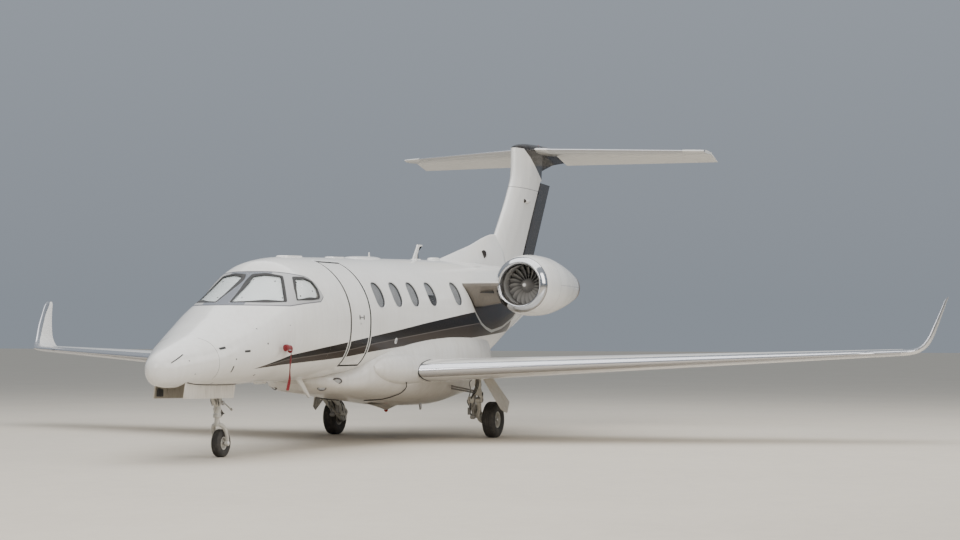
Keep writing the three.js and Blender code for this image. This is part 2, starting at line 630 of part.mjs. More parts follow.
let stabilizer = stabBox;
for (const [name, side] of SIDES) {
  const [y0, y1] = ELEVATOR_SPAN;
  const [trail0, trail1] = ELEVATOR_TRAIL;
  let elevator = loft([elevatorRing(y0, side, trail0), elevatorRing(y1, side, trail1)]);
  const axis = [hingeTip.x - hingeRoot.x, side * STAB.tipY, 0];
  for (const y of [520, 2500]) {
    const { x, radius } = stabHinge(y);
    const reach = [-(radius + 30), side * axis[0] / STAB.tipY * (radius + 30), 0];
    [stabilizer, elevator] = hinge(stabilizer, elevator, [x, side * y, STAB.z], axis, reach, 11);
  }
  add('elevator_' + name, elevator, 0xe9e6df);
}
const stabBlank = [[0, 0, 0.5], [0, 0, -0.5], [-0.5, 0, 0], [0.5, 0, 0]]
  .reduce((sum, by) => sum.add(stabBox.translate(by)), stabBox);
fin = fin.subtract(stabBlank);
add('stabilizer', stabilizer, 0xe9e6df);
add('fin', fin, 0xe9e6df);

const CAP = [      // station, half width, top
  [12560, 40, 4950],
  [12800, 110, 5010],
  [13300, 145, 5060],
  [14310, 145, 5095],
  [14900, 100, 5060],
  [15380, 15, 4965],
];
const cap = loft(CAP.map(([station, half, top]) => Array.from({ length: 12 }, (_, k) => {
  const angle = Math.PI * k / 11;
  return [st(station), half * Math.cos(angle), 4931 + (top - 4931) * Math.sin(angle)];
}))).subtract(stabBlank);
add('tail_cap', cap.subtract(box(st(14300), st(15700), -145, -60, 4800, 5000))
  .subtract(box(st(14300), st(15700), 60, 145, 4800, 5000)), 0x241f1e, 0.15);
const UNDER_CAP = [[13901, 4930], [13901, 4600], [15250, 4870], [15250, 4930]];     // station, z
const underFairing = plate(UNDER_CAP.map(([station, z]) => [st(station), z]), -55, 55);
add('tail_under_fairing', underFairing.subtract(stabBlank), 0x2b2725, 0.3);

// Engines: pylon, hollow nacelle, fan on the shaft of a plain block engine
const NACELLE = [   // distance aft of the lip, radius: outside back to the nozzle, then inside forward
  [0, 350], [30, 388], [105, 432], [260, 464], [520, 480], [900, 470], [1300, 425], [1750, 352], [2300, 240],
  [2300, 226], [1750, 296], [1200, 345], [900, 350], [450, 332], [300, 316], [90, 302], [20, 330], [0, 350],
];
const CORE = [      // the block, with its stator ring behind the fan and its nozzle
  [530, 0], [530, 50], [590, 50], [590, 130], [650, 130], [650, 339.5], [750, 343.5], [750, 270],
  [1300, 250], [1900, 150], [2350, 110], [2350, 100], [2100, 115], [2100, 60], [2440, 0],
];
const PYLON = [     // station, top and bottom at the fuselage, span at the nacelle, top and bottom there
  [8335, 2395, 2320, 1300, 2410, 2345],
  [8540, 2405, 1950, 1300, 2418, 2085],
  [9000, 2405, 1960, 1300, 2420, 2110],
  [10200, 2400, 2120, 1300, 2415, 2200],
  [11150, 2350, 2290, 800, 2375, 2330],
];
const PYLON_ROOT = 300;           // span of its inner end, before it is cut to the fuselage
const HUB = [[220, 0], [240, 40], [310, 78], [410, 104], [580, 112], [580, 0]];

for (const [name, side] of SIDES) {
  const centre = [st(ENGINE.x), side * ENGINE.y, ENGINE.z];
  const nacelle = turned(NACELLE, centre, 28);
  add('nacelle_' + name, nacelle, 0xe9e6df);
  add('engine_' + name, turned(CORE, centre, 28), 0x55504b, 0.5, 0.6);
  let fan = turned(HUB, [0, 0, 0], 14);
  for (let k = 0; k < BLADES; k++) {
    const twisted = [[100, 24, 60], [FAN_RADIUS, 56, 38]].map(([r, pitchAngle, half]) => {
      const a = THREE.MathUtils.degToRad(pitchAngle);
      const along = [Math.cos(a) * half, Math.sin(a) * half];
      const off = [-Math.sin(a) * 5, Math.cos(a) * 5];
      return [[1, 1], [-1, 1], [-1, -1], [1, -1]].map(([i, j]) => [
        FAN_STATION + along[0] * i + off[0] * j, along[1] * i + off[1] * j, r]);
    });
    fan = fan.add(loft(twisted).rotate([360 * k / BLADES, 0, 0]));
  }
  fan = fan.subtract(rod([520, 0, 0], [590, 0, 0], 51.4, 51.4, 14));
  add('fan_' + name, fan.translate(centre), 0x3b3734, 0.3, 0.8);

  const pylon = loft(PYLON.map(([station, rootTop, rootFoot, tip, tipTop, tipFoot]) => [
    [PYLON_ROOT, rootFoot], [PYLON_ROOT, rootTop], [tip, tipTop], [tip, tipFoot],
  ].map(([y, z]) => [st(station), side * y, z])));
  const outside = NACELLE.slice(1, 9).map(([along, r]) => [along, r + 0.6]);
  const shell = turned([[-10, 0], [-10, 350], ...outside, [2950, 225], [2950, 0]], centre, 28);
  add('pylon_' + name, pylon.subtract(fuselageBody(8200, 12000, -0.5)).subtract(shell), 0xb9b0a2);
}

// Main gear: leg, trailing link with the axle, side brace, leg door, wheel and tyre
function tyre(radius, width, rim) {
  const half = width / 2;
  return [[-half * 0.72, rim], [-half, rim + (radius - rim) * 0.4],
    [-half * 0.84, radius - 16], [-half * 0.4, radius], [half * 0.4, radius],
    [half * 0.84, radius - 16], [half, rim + (radius - rim) * 0.4],
    [half * 0.72, rim], [-half * 0.72, rim]];
}

function wheelProfile(width, rim, bore) {
  const half = width / 2 * 0.72;
  return [[-half, bore], [-half, rim * 0.34], [-half * 0.45, rim * 0.5],
    [-half, rim * 0.88], [-half, rim - 0.3], [half, rim - 0.3], [half, rim * 0.88],
    [half * 0.45, rim * 0.5], [half, rim * 0.34], [half, bore], [-half, bore]];
}

const LEG = { x: 7520, in: -60, top: 1009.7, knee: 590 };      // in: from the wheel's middle
const LINK_IN = -155;             // the trailing link beside the wheel, from the wheel's middle
const LEG_DOOR = [[0, 0], [320, 0], [700, -470], [500, -647], [340, -585]];     // along, up
for (const [name, side] of SIDES) {
  const axle = [st(MAIN.x), side * MAIN.y, MAIN.radius];
  const rim = 120;
  add('main_tyre_' + name, turned(tyre(MAIN.radius, MAIN.width, rim), axle, 32, false), 0x1b1b1d, 0.9);
  add('main_wheel_' + name, turned(wheelProfile(MAIN.width, rim, 31), axle, 16, false), 0xb8b8b6, 0.4, 0.7);
  const y = offset => side * (MAIN.y + offset);
  const between = (a, b) => [Math.min(y(a), y(b)), Math.max(y(a), y(b))];
  let leg = rod([st(LEG.x), y(LEG.in), LEG.top], [st(LEG.x), y(LEG.in), 690], 48, 44, 12);
  leg = leg.add(rod([st(LEG.x), y(LEG.in), 700], [st(LEG.x), y(LEG.in), LEG.knee], 40, 40, 12));
  leg = leg.add(rod([st(LEG.x), y(LEG.in - 70), LEG.knee], [st(LEG.x), y(LEG.in + 70), LEG.knee], 45, 45, 12));
  leg = leg.add(box(st(LEG.x - 40), st(LEG.x + 40), ...between(LEG.in - 70, LEG.in + 70), 600, 700));
  leg = leg.subtract(box(st(LEG.x - 80), st(LEG.x + 100), ...between(LEG.in - 48, LEG.in + 48), 500, 642));
  leg = leg.add(rod([st(7500), y(LEG.in - 10), 720], [st(7420), side * BRACE_FOOT, 800], 20, 20, 8));
  leg = leg.add(rod([st(7530), y(LEG.in - 10), 660], [st(7440), side * BRACE_FOOT, 760], 20, 20, 8));
  leg = leg.subtract(fairingBlank);
  const knuckle = LEG.in - 47.7;    // its inner face, clear of the fork cut in the leg
  let link = rod([st(LEG.x), y(knuckle), LEG.knee], [st(LEG.x), y(knuckle + 95.4), LEG.knee], 40, 40, 12);
  link = link.add(rod([st(LEG.x), y(LEG.in), 580], [st(7780), y(LINK_IN), 345], 30, 34, 8));
  const onAxle = offset => [st(MAIN.x), y(offset), MAIN.radius];
  link = link.add(rod([st(7780), y(LINK_IN), 345], onAxle(LINK_IN), 34, 40, 8));
  link = link.add(rod(onAxle(LINK_IN - 40), onAxle(62), 30, 30, 12));
  link = link.add(rod(onAxle(LINK_IN), onAxle(-84), 75, 75, 14));
  add('main_leg_' + name, leg, 0x9a968e, 0.4, 0.5);
  add('main_trailing_link_' + name, link, 0x9a968e, 0.4, 0.5);

  const legDoor = plate(LEG_DOOR, -8, 8).rotate([side * 19.8, 0, side * 6])
    .translate([st(7400), side * (MAIN.y + 10), 985]);
  add('main_leg_door_' + name, legDoor.subtract(wingBlank(side)), 0xc9c6bf);
}

// Nose gear: fixed leg between the open doors, and a fork that steers a single wheel
const noseAxle = [st(NOSE.x), 0, NOSE.radius];
add('nose_tyre', turned(tyre(NOSE.radius, NOSE.width, 78), noseAxle, 28, false), 0x1b1b1d, 0.9);
add('nose_wheel', turned(wheelProfile(NOSE.width, 78, 19), noseAxle, 14, false), 0xb8b8b6, 0.4, 0.7);
const FORK_HALF = 90;             // middle of the fork's arms, off the wheel's middle
const AXLE_END = 118;             // tow bar end of the nose axle
const px = st(NOSE.pivotX);
let noseLeg = rod([px, 0, 1179.5], [px, 0, 560], 44, 44, 14);
noseLeg = noseLeg.add(rod([px - 20, 0, 640], [st(1100), 0, 1150], 20, 20, 8));
noseLeg = noseLeg.add(rod([px, -170, 1150], [px, 170, 1150], 26, 26, 12));
noseLeg = noseLeg.subtract(rod([px, 0, 500], [px, 0, 700], 30.9, 30.9, 14));
let fork = rod([px, 0, 690], [px, 0, 400], 30, 30, 14);
fork = fork.add(rod([px, 0, 559.4], [px, 0, 500], 50, 50, 12));
fork = fork.add(rod([px + 10, -FORK_HALF - 3, 410], [px + 10, FORK_HALF + 3, 410], 30, 30, 10));
for (const side of [-1, 1]) {
  const arm = side * FORK_HALF;
  fork = fork.add(rod([px + 10, arm, 410], [st(NOSE.x), arm, NOSE.radius], 22, 20, 8));
}
fork = fork.add(rod([st(NOSE.x), -AXLE_END, NOSE.radius], [st(NOSE.x), AXLE_END, NOSE.radius], 18, 18, 10));
add('nose_leg', noseLeg, 0xd8d6d0, 0.4);
add('nose_fork', fork, 0xd8d6d0, 0.4);
for (const [name, side] of SIDES) {
  const panel = plate([[st(480), 1000], [st(1750), 960], [st(1690), 752], [st(420), 772]], -6, 6);
  add('nose_gear_door_' + name, panel.translate([0, side * (BAY_HALF - 6 - GAP), 0]), 0xe9e6df);
}

export default aircraft;
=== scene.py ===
import math

import bmesh
import bpy
import numpy as np
from mathutils import Matrix, Vector


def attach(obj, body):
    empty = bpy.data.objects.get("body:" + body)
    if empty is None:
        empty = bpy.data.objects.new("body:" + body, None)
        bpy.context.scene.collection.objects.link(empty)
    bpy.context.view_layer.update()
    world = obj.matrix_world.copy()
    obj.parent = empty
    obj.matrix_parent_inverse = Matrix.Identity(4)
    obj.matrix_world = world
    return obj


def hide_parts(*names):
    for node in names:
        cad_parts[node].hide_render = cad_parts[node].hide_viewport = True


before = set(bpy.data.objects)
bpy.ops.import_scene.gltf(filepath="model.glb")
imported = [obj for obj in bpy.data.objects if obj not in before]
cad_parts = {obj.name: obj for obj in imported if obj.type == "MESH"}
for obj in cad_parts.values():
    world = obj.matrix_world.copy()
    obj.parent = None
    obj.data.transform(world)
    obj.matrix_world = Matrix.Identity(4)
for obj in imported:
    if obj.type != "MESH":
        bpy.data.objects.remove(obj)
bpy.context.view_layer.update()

# The view: the photograph is taken from well ahead of the port wing tip, from just below the height
# of a standing eye, with a long lens. Row frame: +X runs aft, +Y to starboard, +Z up.
PHOTO_WIDTH = 960                     # pixels
FOCAL = 1993.2                        # focal length in pixels of the photograph
EYE = (-28.548, -12.141, 1.479)
YAW, PITCH, ROLL = 0.3663, 0.0357, 0.0028
SENSOR = 36.0                         # mm

camera = bpy.data.objects.new("camera", bpy.data.cameras.new("camera"))
bpy.context.scene.collection.objects.link(camera)
camera.data.sensor_width = SENSOR
camera.data.lens = SENSOR * FOCAL / PHOTO_WIDTH
camera.data.clip_end = 400
ahead = Vector((math.cos(PITCH) * math.cos(YAW), math.cos(PITCH) * math.sin(YAW), math.sin(PITCH)))
level = ahead.cross(Vector((0, 0, 1))).normalized()
upright = level.cross(ahead)
right = level * math.cos(ROLL) + upright * math.sin(ROLL)
up = upright * math.cos(ROLL) - level * math.sin(ROLL)
camera.matrix_world = Matrix.Translation(EYE) @ Matrix((right, up, -ahead)).transposed().to_4x4()
bpy.context.scene.camera = camera


def put(tree, kind, inputs=None, out=0, **settings):
    """Adds one shader node: an input given as a socket is linked, any other value is set on it."""
    node = tree.nodes.new("ShaderNode" + kind)
    for key, value in settings.items():
        setattr(node, key, value)
    for key, value in (inputs or {}).items():
        if isinstance(value, bpy.types.NodeSocket):
            tree.links.new(value, node.inputs[key])
        else:
            node.inputs[key].default_value = value
    return node.outputs[out]


def sums(tree, operation, a, b=0.0, c=0.0, **settings):
    """One arithmetic step on two or three values, such as a less than b."""
    return put(tree, "Math", {0: a, 1: b, 2: c}, operation=operation, **settings)


def all_of(tree, *masks):
    """The product of masks: 1 where each of them is 1."""
    made = masks[0]
    for mask in masks[1:]:
        made = sums(tree, "MULTIPLY", made, mask)
    return made


def material(name, base, roughness=0.5, metallic=0.0, **sockets):
    """A Principled material with constants on its own sockets; returns it, its tree and its shader."""
    made = bpy.data.materials.new(name)
    made.use_nodes = True
    shader = made.node_tree.nodes["Principled BSDF"]
    shader.inputs["Base Color"].default_value = (*base, 1)
    shader.inputs["Roughness"].default_value = roughness
    shader.inputs["Metallic"].default_value = metallic
    for key, value in sockets.items():
        shader.inputs[key.replace("_", " ")].default_value = value
    return made, made.node_tree, shader


def effect(name, inputs, outputs):
    """An empty node group with named float, colour or vector sockets, and its two end nodes."""
    group = bpy.data.node_groups.new(name, "ShaderNodeTree")
    for direction, sockets in (("INPUT", inputs), ("OUTPUT", outputs)):
        for socket, kind in sockets.items():
            group.interface.new_socket(socket, in_out=direction, socket_type="NodeSocket" + kind)
    return group, group.nodes.new("NodeGroupInput").outputs, group.nodes.new("NodeGroupOutput").inputs


def axes(tree):
    """The x, y and z of the Object coordinates."""
    return put(tree, "SeparateXYZ", {0: put(tree, "TexCoord", out=3)}).node.outputs


def texture(tree, kind, inputs):
    """One of Blender's textures on Object coordinates."""
    return put(tree, "Tex" + kind, {"Vector": put(tree, "TexCoord", out=3), **inputs})


def feed(shader, **sockets):
    """Links values to a shader's own sockets, which are named with _ for a space."""
    for key, value in sockets.items():
        shader.id_data.links.new(value, shader.inputs[key.replace("_", " ")])


def rgba(colour):
    """A colour with its fourth number, or a socket as it is."""
    return colour if isinstance(colour, bpy.types.NodeSocket) else (*colour, 1)


def layer(tree, mask, under, over):
    """Paints one colour over another where the mask is 1."""
    return put(tree, "Mix", {0: mask, 6: rgba(under), 7: rgba(over)}, out=2, data_type="RGBA")


# The weathering that every finish has: broad blotches of tone, a fine dust in streaks, and a shallow
# unevenness of the surface. Each finish takes its own amounts of them.
weather, given, gives = effect("weather", {"Colour": "Color", "Dust": "Color", "Amount": "Float",
    "Scale": "Float", "Roughness": "Float", "Uneven": "Float"}, {"Colour": "Color", "Roughness": "Float",
    "Normal": "Vector"})
place = put(weather, "TexCoord", out=3)
broad = put(weather, "TexNoise", {"Vector": place, "Scale": given["Scale"], "Detail": 5.0, "Roughness": 0.6})
streak = put(weather, "TexNoise",
    {"Vector": put(weather, "Mapping", {"Vector": place, "Scale": (9.0, 9.0, 1.2)}), "Scale": given["Scale"],
    "Detail": 4.0, "Roughness": 0.65})
worn = put(weather, "MapRange", {"Value": sums(weather, "MULTIPLY", broad, streak), "From Min": 0.12,
    "From Max": 0.42})
amount = sums(weather, "MULTIPLY", worn, given["Amount"])
toned = layer(weather, amount, given["Colour"], given["Dust"])
rough = sums(weather, "MULTIPLY_ADD", worn, sums(weather, "MULTIPLY", given["Amount"], 0.5),
    given["Roughness"])
grit = put(weather, "TexNoise", {"Vector": place, "Scale": sums(weather, "MULTIPLY", given["Scale"], 40.0),
    "Detail": 3.0})
bump = put(weather, "Bump", {"Strength": given["Uneven"], "Distance": 0.002, "Height": grit})
for socket, value in (("Colour", toned), ("Roughness", rough), ("Normal", bump)):
    weather.links.new(value, gives[socket])


def weathered(tree, shader, colour, dust, amount, roughness, scale=1.5, uneven=0.15):
    """Lays the weathering over a finish whose colour is a constant or a socket."""
    made = put(tree, "Group", {"Colour": rgba(colour), "Dust": rgba(dust), "Amount": amount, "Scale": scale,
        "Roughness": roughness, "Uneven": uneven}, node_tree=weather).node.outputs
    feed(shader, Base_Color=made["Colour"], Roughness=made["Roughness"], Normal=made["Normal"])
    return made


def plain(name, colour, dust, amount, roughness, scale=1.5, uneven=0.15, metallic=0.0, **sockets):
    """A weathered finish of one colour."""
    made, tree, shader = material(name, colour, roughness, metallic, **sockets)
    weathered(tree, shader, colour, dust, amount, roughness, scale, uneven)
    return made


# The floor and the light: a pale concrete apron laid flat, a grey studio sky, and soft lights over and
# in front of the aircraft, as large frames of cloth hung from a ceiling would give.
FLOOR_REACH = 260
FLOOR_TONE = (0.62, 0.56, 0.47)
floor_mesh = bpy.data.meshes.new("floor")
corners = [(-FLOOR_REACH, -FLOOR_REACH, 0), (FLOOR_REACH, -FLOOR_REACH, 0), (FLOOR_REACH, FLOOR_REACH, 0),
    (-FLOOR_REACH, FLOOR_REACH, 0)]
floor_mesh.from_pydata(corners, [], [(0, 1, 2, 3)])
floor = bpy.data.objects.new("floor", floor_mesh)
bpy.context.scene.collection.objects.link(floor)
floor_mesh.materials.append(plain("pale_concrete", FLOOR_TONE, (0.5, 0.45, 0.38), 0.35, 0.8, 0.4, 0.3))

SKY_LOW = (0.42, 0.47, 0.54)
SKY_HIGH = (0.85, 0.92, 1.0)
world = bpy.data.worlds.new("studio")
bpy.context.scene.world = world
world.use_nodes = True
sky = world.node_tree
background = sky.nodes["Background"]
height = put(sky, "SeparateXYZ", {0: put(sky, "TexCoord", out=0)}, out=2)
lift = put(sky, "MapRange", {"Value": height, "From Min": 0.02, "From Max": 0.7})
feed(background, Color=layer(sky, lift, SKY_LOW, SKY_HIGH))
background.inputs["Strength"].default_value = 0.62


def softbox(name, at, aim, size, power, tone):
    """A square lamp of a given width that faces a point."""
    lamp = bpy.data.objects.new(name, bpy.data.lights.new(name, "AREA"))
    lamp.data.shape = "SQUARE"
    lamp.data.size = size
    lamp.data.energy = power
    lamp.data.color = tone
    lamp.location = at
    lamp.rotation_euler = (Vector(aim) - Vector(at)).to_track_quat("-Z", "Y").to_euler()
    bpy.context.scene.collection.objects.link(lamp)


softbox("ceiling_light", (0, 0, 16), (0, 0, 0), 22, 3600, (1.0, 1.0, 1.0))
softbox("nose_light", (-20, -6, 11), (-3, 0, 1.5), 10, 1900, (1.0, 0.97, 0.93))
softbox("side_light", (-2, -22, 10), (0, 0, 1.5), 12, 1900, (1.0, 0.98, 0.95))


# The fuselage: a smooth aluminium tube riveted from skin panels over frames, painted white. It is split
# where the real sections meet: nose, cockpit, cabin, rear and tail. The skin and its lining are 90 mm apart.
NOSE_TIP = -7.82                      # x of station 0
WALL = 0.09
SECTIONS = np.array([    # station, crown, keel, half width, widest height, squareness above and below it
    [0.00, 1.125, 1.125, 0.000, 1.125, 1.00, 1.00],
    [0.045, 1.235, 1.006, 0.095, 1.139, 1.00, 1.00],
    [0.16, 1.319, 0.931, 0.173, 1.129, 1.00, 1.00],
    [0.42, 1.416, 0.904, 0.302, 1.171, 0.98, 1.00],
    [0.90, 1.582, 0.907, 0.506, 1.252, 0.96, 0.97],
    [1.40, 1.788, 0.908, 0.647, 1.363, 0.93, 0.93],
    [1.87, 2.009, 0.916, 0.739, 1.470, 0.88, 0.89],
    [2.38, 2.264, 0.934, 0.790, 1.580, 0.90, 0.85],
    [2.80, 2.538, 0.932, 0.827, 1.660, 0.95, 0.81],
    [3.40, 2.610, 0.946, 0.860, 1.720, 1.00, 0.78],
    [4.20, 2.635, 0.955, 0.868, 1.750, 1.00, 0.77],
    [8.30, 2.760, 0.930, 0.865, 1.795, 1.00, 0.78],
    [9.60, 2.795, 1.080, 0.790, 1.870, 1.00, 0.86],
    [11.20, 2.800, 1.520, 0.600, 2.090, 1.00, 1.00],
    [12.60, 2.790, 1.990, 0.370, 2.330, 1.00, 1.00],
    [13.92, 2.740, 2.460, 0.130, 2.600, 1.00, 1.00],
])


def eased(places, values, at):
    """A monotone cubic through a table's rows: each slope is the harmonic mean of its two sides."""
    step = np.diff(places)
    slope = np.diff(values) / step
    same = slope[:-1] * slope[1:] > 0
    near, far = 2 * step[1:] + step[:-1], step[1:] + 2 * step[:-1]
    safe = np.where(same, slope[:-1], 1), np.where(same, slope[1:], 1)
    m = np.zeros(len(places))
    m[1:-1] = np.where(same, (near + far) / (near / safe[0] + far / safe[1]), 0)
    m[0], m[-1] = slope[0], slope[-1]
    i = np.clip(np.searchsorted(places, at) - 1, 0, len(step) - 1)
    t = (at - places[i]) / step[i]
    return ((1 + 2 * t) * (1 - t) ** 2 * values[i] + t * (1 - t) ** 2 * step[i] * m[i] + t * t * (3 - 2 * t)
        * values[i + 1] + t * t * (t - 1) * step[i] * m[i + 1])


def section(x):
    """Crown, keel, half width, widest height and both squarenesses, eased over the root of the station."""
    root = np.sqrt(np.clip(np.asarray(x, float) - NOSE_TIP, 0, SECTIONS[-1, 0]))
    return [eased(np.sqrt(SECTIONS[:, 0]), SECTIONS[:, k], root) for k in range(1, 7)]


def turns(count):
    """Angles all the way round, without the last, which is the first again."""
    return np.linspace(0, 2 * np.pi, count, endpoint=False)


def joined(*parts):
    """Arrays of x, y and z, stretched to one shape and put together as points."""
    return np.stack(np.broadcast_arrays(*parts), -1)


def signed(value, power):
    """A power that keeps the sign."""
    return np.sign(value) * np.abs(value) ** power


def hull(x, angle, inset=0.0):
    """The fuselage skin over x and the angle round it: a squared half ellipse above and one below."""
    crown, keel, half, wide, upper, lower = section(x)
    over = np.sin(angle) > 0
    power = np.where(over, upper, lower)
    rise = np.where(over, crown - wide, wide - keel) - inset
    return joined(x, np.maximum(half - inset, 0) * signed(np.cos(angle), power), wide + np.maximum(rise, 0)
        * signed(np.sin(angle), power))


def depth_in(points, inset=0.0):
    """How far inside the skin points lie: below 0 is inside and above 0 outside, without a unit."""
    x, y, z = points[..., 0], points[..., 1], points[..., 2]
    crown, keel, half, wide, upper, lower = section(x)
    over = z > wide
    power = 2 / np.where(over, upper, lower)
    rise = np.where(over, crown - wide, wide - keel) - inset
    return (np.abs(y) / np.maximum(half - inset, 1e-3)) ** power + (np.abs(z - wide) / rise) ** power - 1


def onto(points, direction, inset=0.0, reach=2.0):
    """Slides points along a direction, from outside inwards, until they lie on the skin: bisection."""
    direction = np.asarray(direction, float)
    low, high = np.zeros(points.shape[:-1]), np.full(points.shape[:-1], reach)
    for _ in range(30):
        middle = (low + high) / 2
        out = depth_in(points + middle[..., None] * direction, inset) > 0
        low, high = np.where(out, middle, low), np.where(out, high, middle)
    return points + low[..., None] * direction


def grid(points, wrap=True, caps=True, loop=False):
    """Quads over rows and columns of points; wrap joins the last column to the first, loop the last row
    to the first, and caps closes the end rows by fans about their middles."""
    points = np.asarray(points, float)
    rows, columns = points.shape[:2]
    index = np.arange(rows * columns).reshape(rows, columns)
    if wrap:
        index = np.concatenate([index, index[:, :1]], 1)
    if loop:
        index = np.concatenate([index, index[:1]], 0)
    quads = joined(index[:-1, :-1], index[:-1, 1:], index[1:, 1:], index[1:, :-1]).reshape(-1, 4)
    vertices, fans = points.reshape(-1, 3), []
    if caps and not loop:
        for k, row in enumerate((index[0], index[-1])):
            middle = np.full(len(row) - 1, len(vertices) + k)
            fans.append(joined(middle, row[:-1], row[1:]))
        vertices = np.concatenate([vertices, points[[0, -1]].mean(1)])
    return vertices, quads, np.concatenate(fans) if fans else np.zeros((0, 3), int)


def build(name, parts, finish, body="airframe", sharp=35.0, replaces=(), cut=(), bevel=None,
        keep=False):
    """Joins closed parts into one mesh, turns its faces outwards, gives it a finish and a body. The blocks
    that cut it are removed, unless they are kept for the next piece."""
    vertices, faces, start = [], [], 0
    for points, quads, fans in parts:
        vertices.append(points)
        faces += (quads + start).tolist() + (fans + start).tolist()
        start += len(points)
    mesh = bpy.data.meshes.new(name)
    mesh.from_pydata(np.concatenate(vertices).tolist(), [], faces)
    shaped = bmesh.new()
    shaped.from_mesh(mesh)
    bmesh.ops.remove_doubles(shaped, verts=shaped.verts, dist=2e-5)
    bmesh.ops.dissolve_degenerate(shaped, edges=shaped.edges, dist=1e-6)
    bmesh.ops.recalc_face_normals(shaped, faces=shaped.faces)
    shaped.to_mesh(mesh)
    shaped.free()
    piece = bpy.data.objects.new(name, mesh)
    bpy.context.scene.collection.objects.link(piece)
    for tool in cut:
        carve = piece.modifiers.new("cut", "BOOLEAN")
        carve.object, carve.operation, carve.solver = tool, "DIFFERENCE", "EXACT"
        carve.use_self = len(parts) > 1       # the parts of a piece may overlap each other
    if bevel:
        rounding = piece.modifiers.new("bevel", "BEVEL")
        rounding.width, rounding.segments, rounding.angle_limit = bevel, 2, math.radians(40)
    if cut or bevel:
        bpy.context.view_layer.update()
        final = bpy.data.meshes.new_from_object(piece.evaluated_get(bpy.context.evaluated_depsgraph_get()))
        final.name = name
        piece.modifiers.clear()
        piece.data = final
    for tool in () if keep else cut:
        bpy.data.objects.remove(tool)
    piece.data.materials.clear()
    piece.data.materials.append(finish)
    piece.data.shade_smooth()
    piece.data.set_sharp_from_angle(angle=math.radians(sharp))
    if body:
        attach(piece, body)
    if replaces:
        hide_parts(*replaces)
    return piece


def curve_over(tree, x, table):
    """The height of a line drawn along the side: straight from point to point of a table of x, z."""
    reach, top = 16.0, 3.0
    line = put(tree, "FloatCurve", {"Value": sums(tree, "MULTIPLY_ADD", x, 1 / reach, 0.5)})
    points = line.node.mapping.curves[0].points
    for k, (at, height) in enumerate(table):
        spot = (at / reach + 0.5, height / top)
        if k < 2:
            points[k].location = spot
        else:
            points.new(*spot)
    for point in points:
        point.handle_type = "VECTOR"
    line.node.mapping.update()
    return sums(tree, "MULTIPLY", line, top)


WHITE = (0.80, 0.785, 0.75)
DUST = (0.36, 0.30, 0.23)
NEAR_BLACK = (0.010, 0.008, 0.008)
BROWN = (0.036, 0.027, 0.022)
SILVER_LINE = (0.11, 0.095, 0.085)
SCALLOP_TRIM = (0.42, 0.42, 0.40)
SCALLOP_HEAD = 2.36                   # height at which the dark field under the engine ends
# The warm grey laid over lower surfaces: painted shade and ground reflection.
UNDERSIDE_SHADE = (0.60, 0.54, 0.46)
MIDDLE_BAND = 0.30                    # half width of the crown and keel that the stripe leaves white
STRIPE_TOP = [(-6.30, 1.125), (-5.56, 1.294), (-4.69, 1.395), (-4.00, 1.466), (-3.26, 1.543), (-2.50, 1.62),
    (-1.34, 1.746), (0.06, 1.883), (0.62, 1.933), (2.24, 2.03)]
STRIPE_SPLIT = [(-6.30, 1.125), (-5.60, 1.235), (-3.89, 1.363), (-3.17, 1.441), (-2.42, 1.506), (-1.29, 1.60),
    (0.06, 1.706), (2.24, 1.86)]
STRIPE_FOOT = [(-6.30, 1.125), (-5.70, 1.168), (-5.09, 1.201), (-4.45, 1.232), (-3.85, 1.269), (-3.18, 1.329),
    (-2.38, 1.385), (-1.20, 1.475), (0.48, 1.53), (2.24, 1.62)]
SCALLOP = [(0.49, 2.37), (0.60, 2.05), (0.71, 1.90), (0.95, 1.76), (1.20, 1.69), (1.56, 1.64), (2.22, 1.71),
    (2.99, 1.87), (3.5, 2.1)]


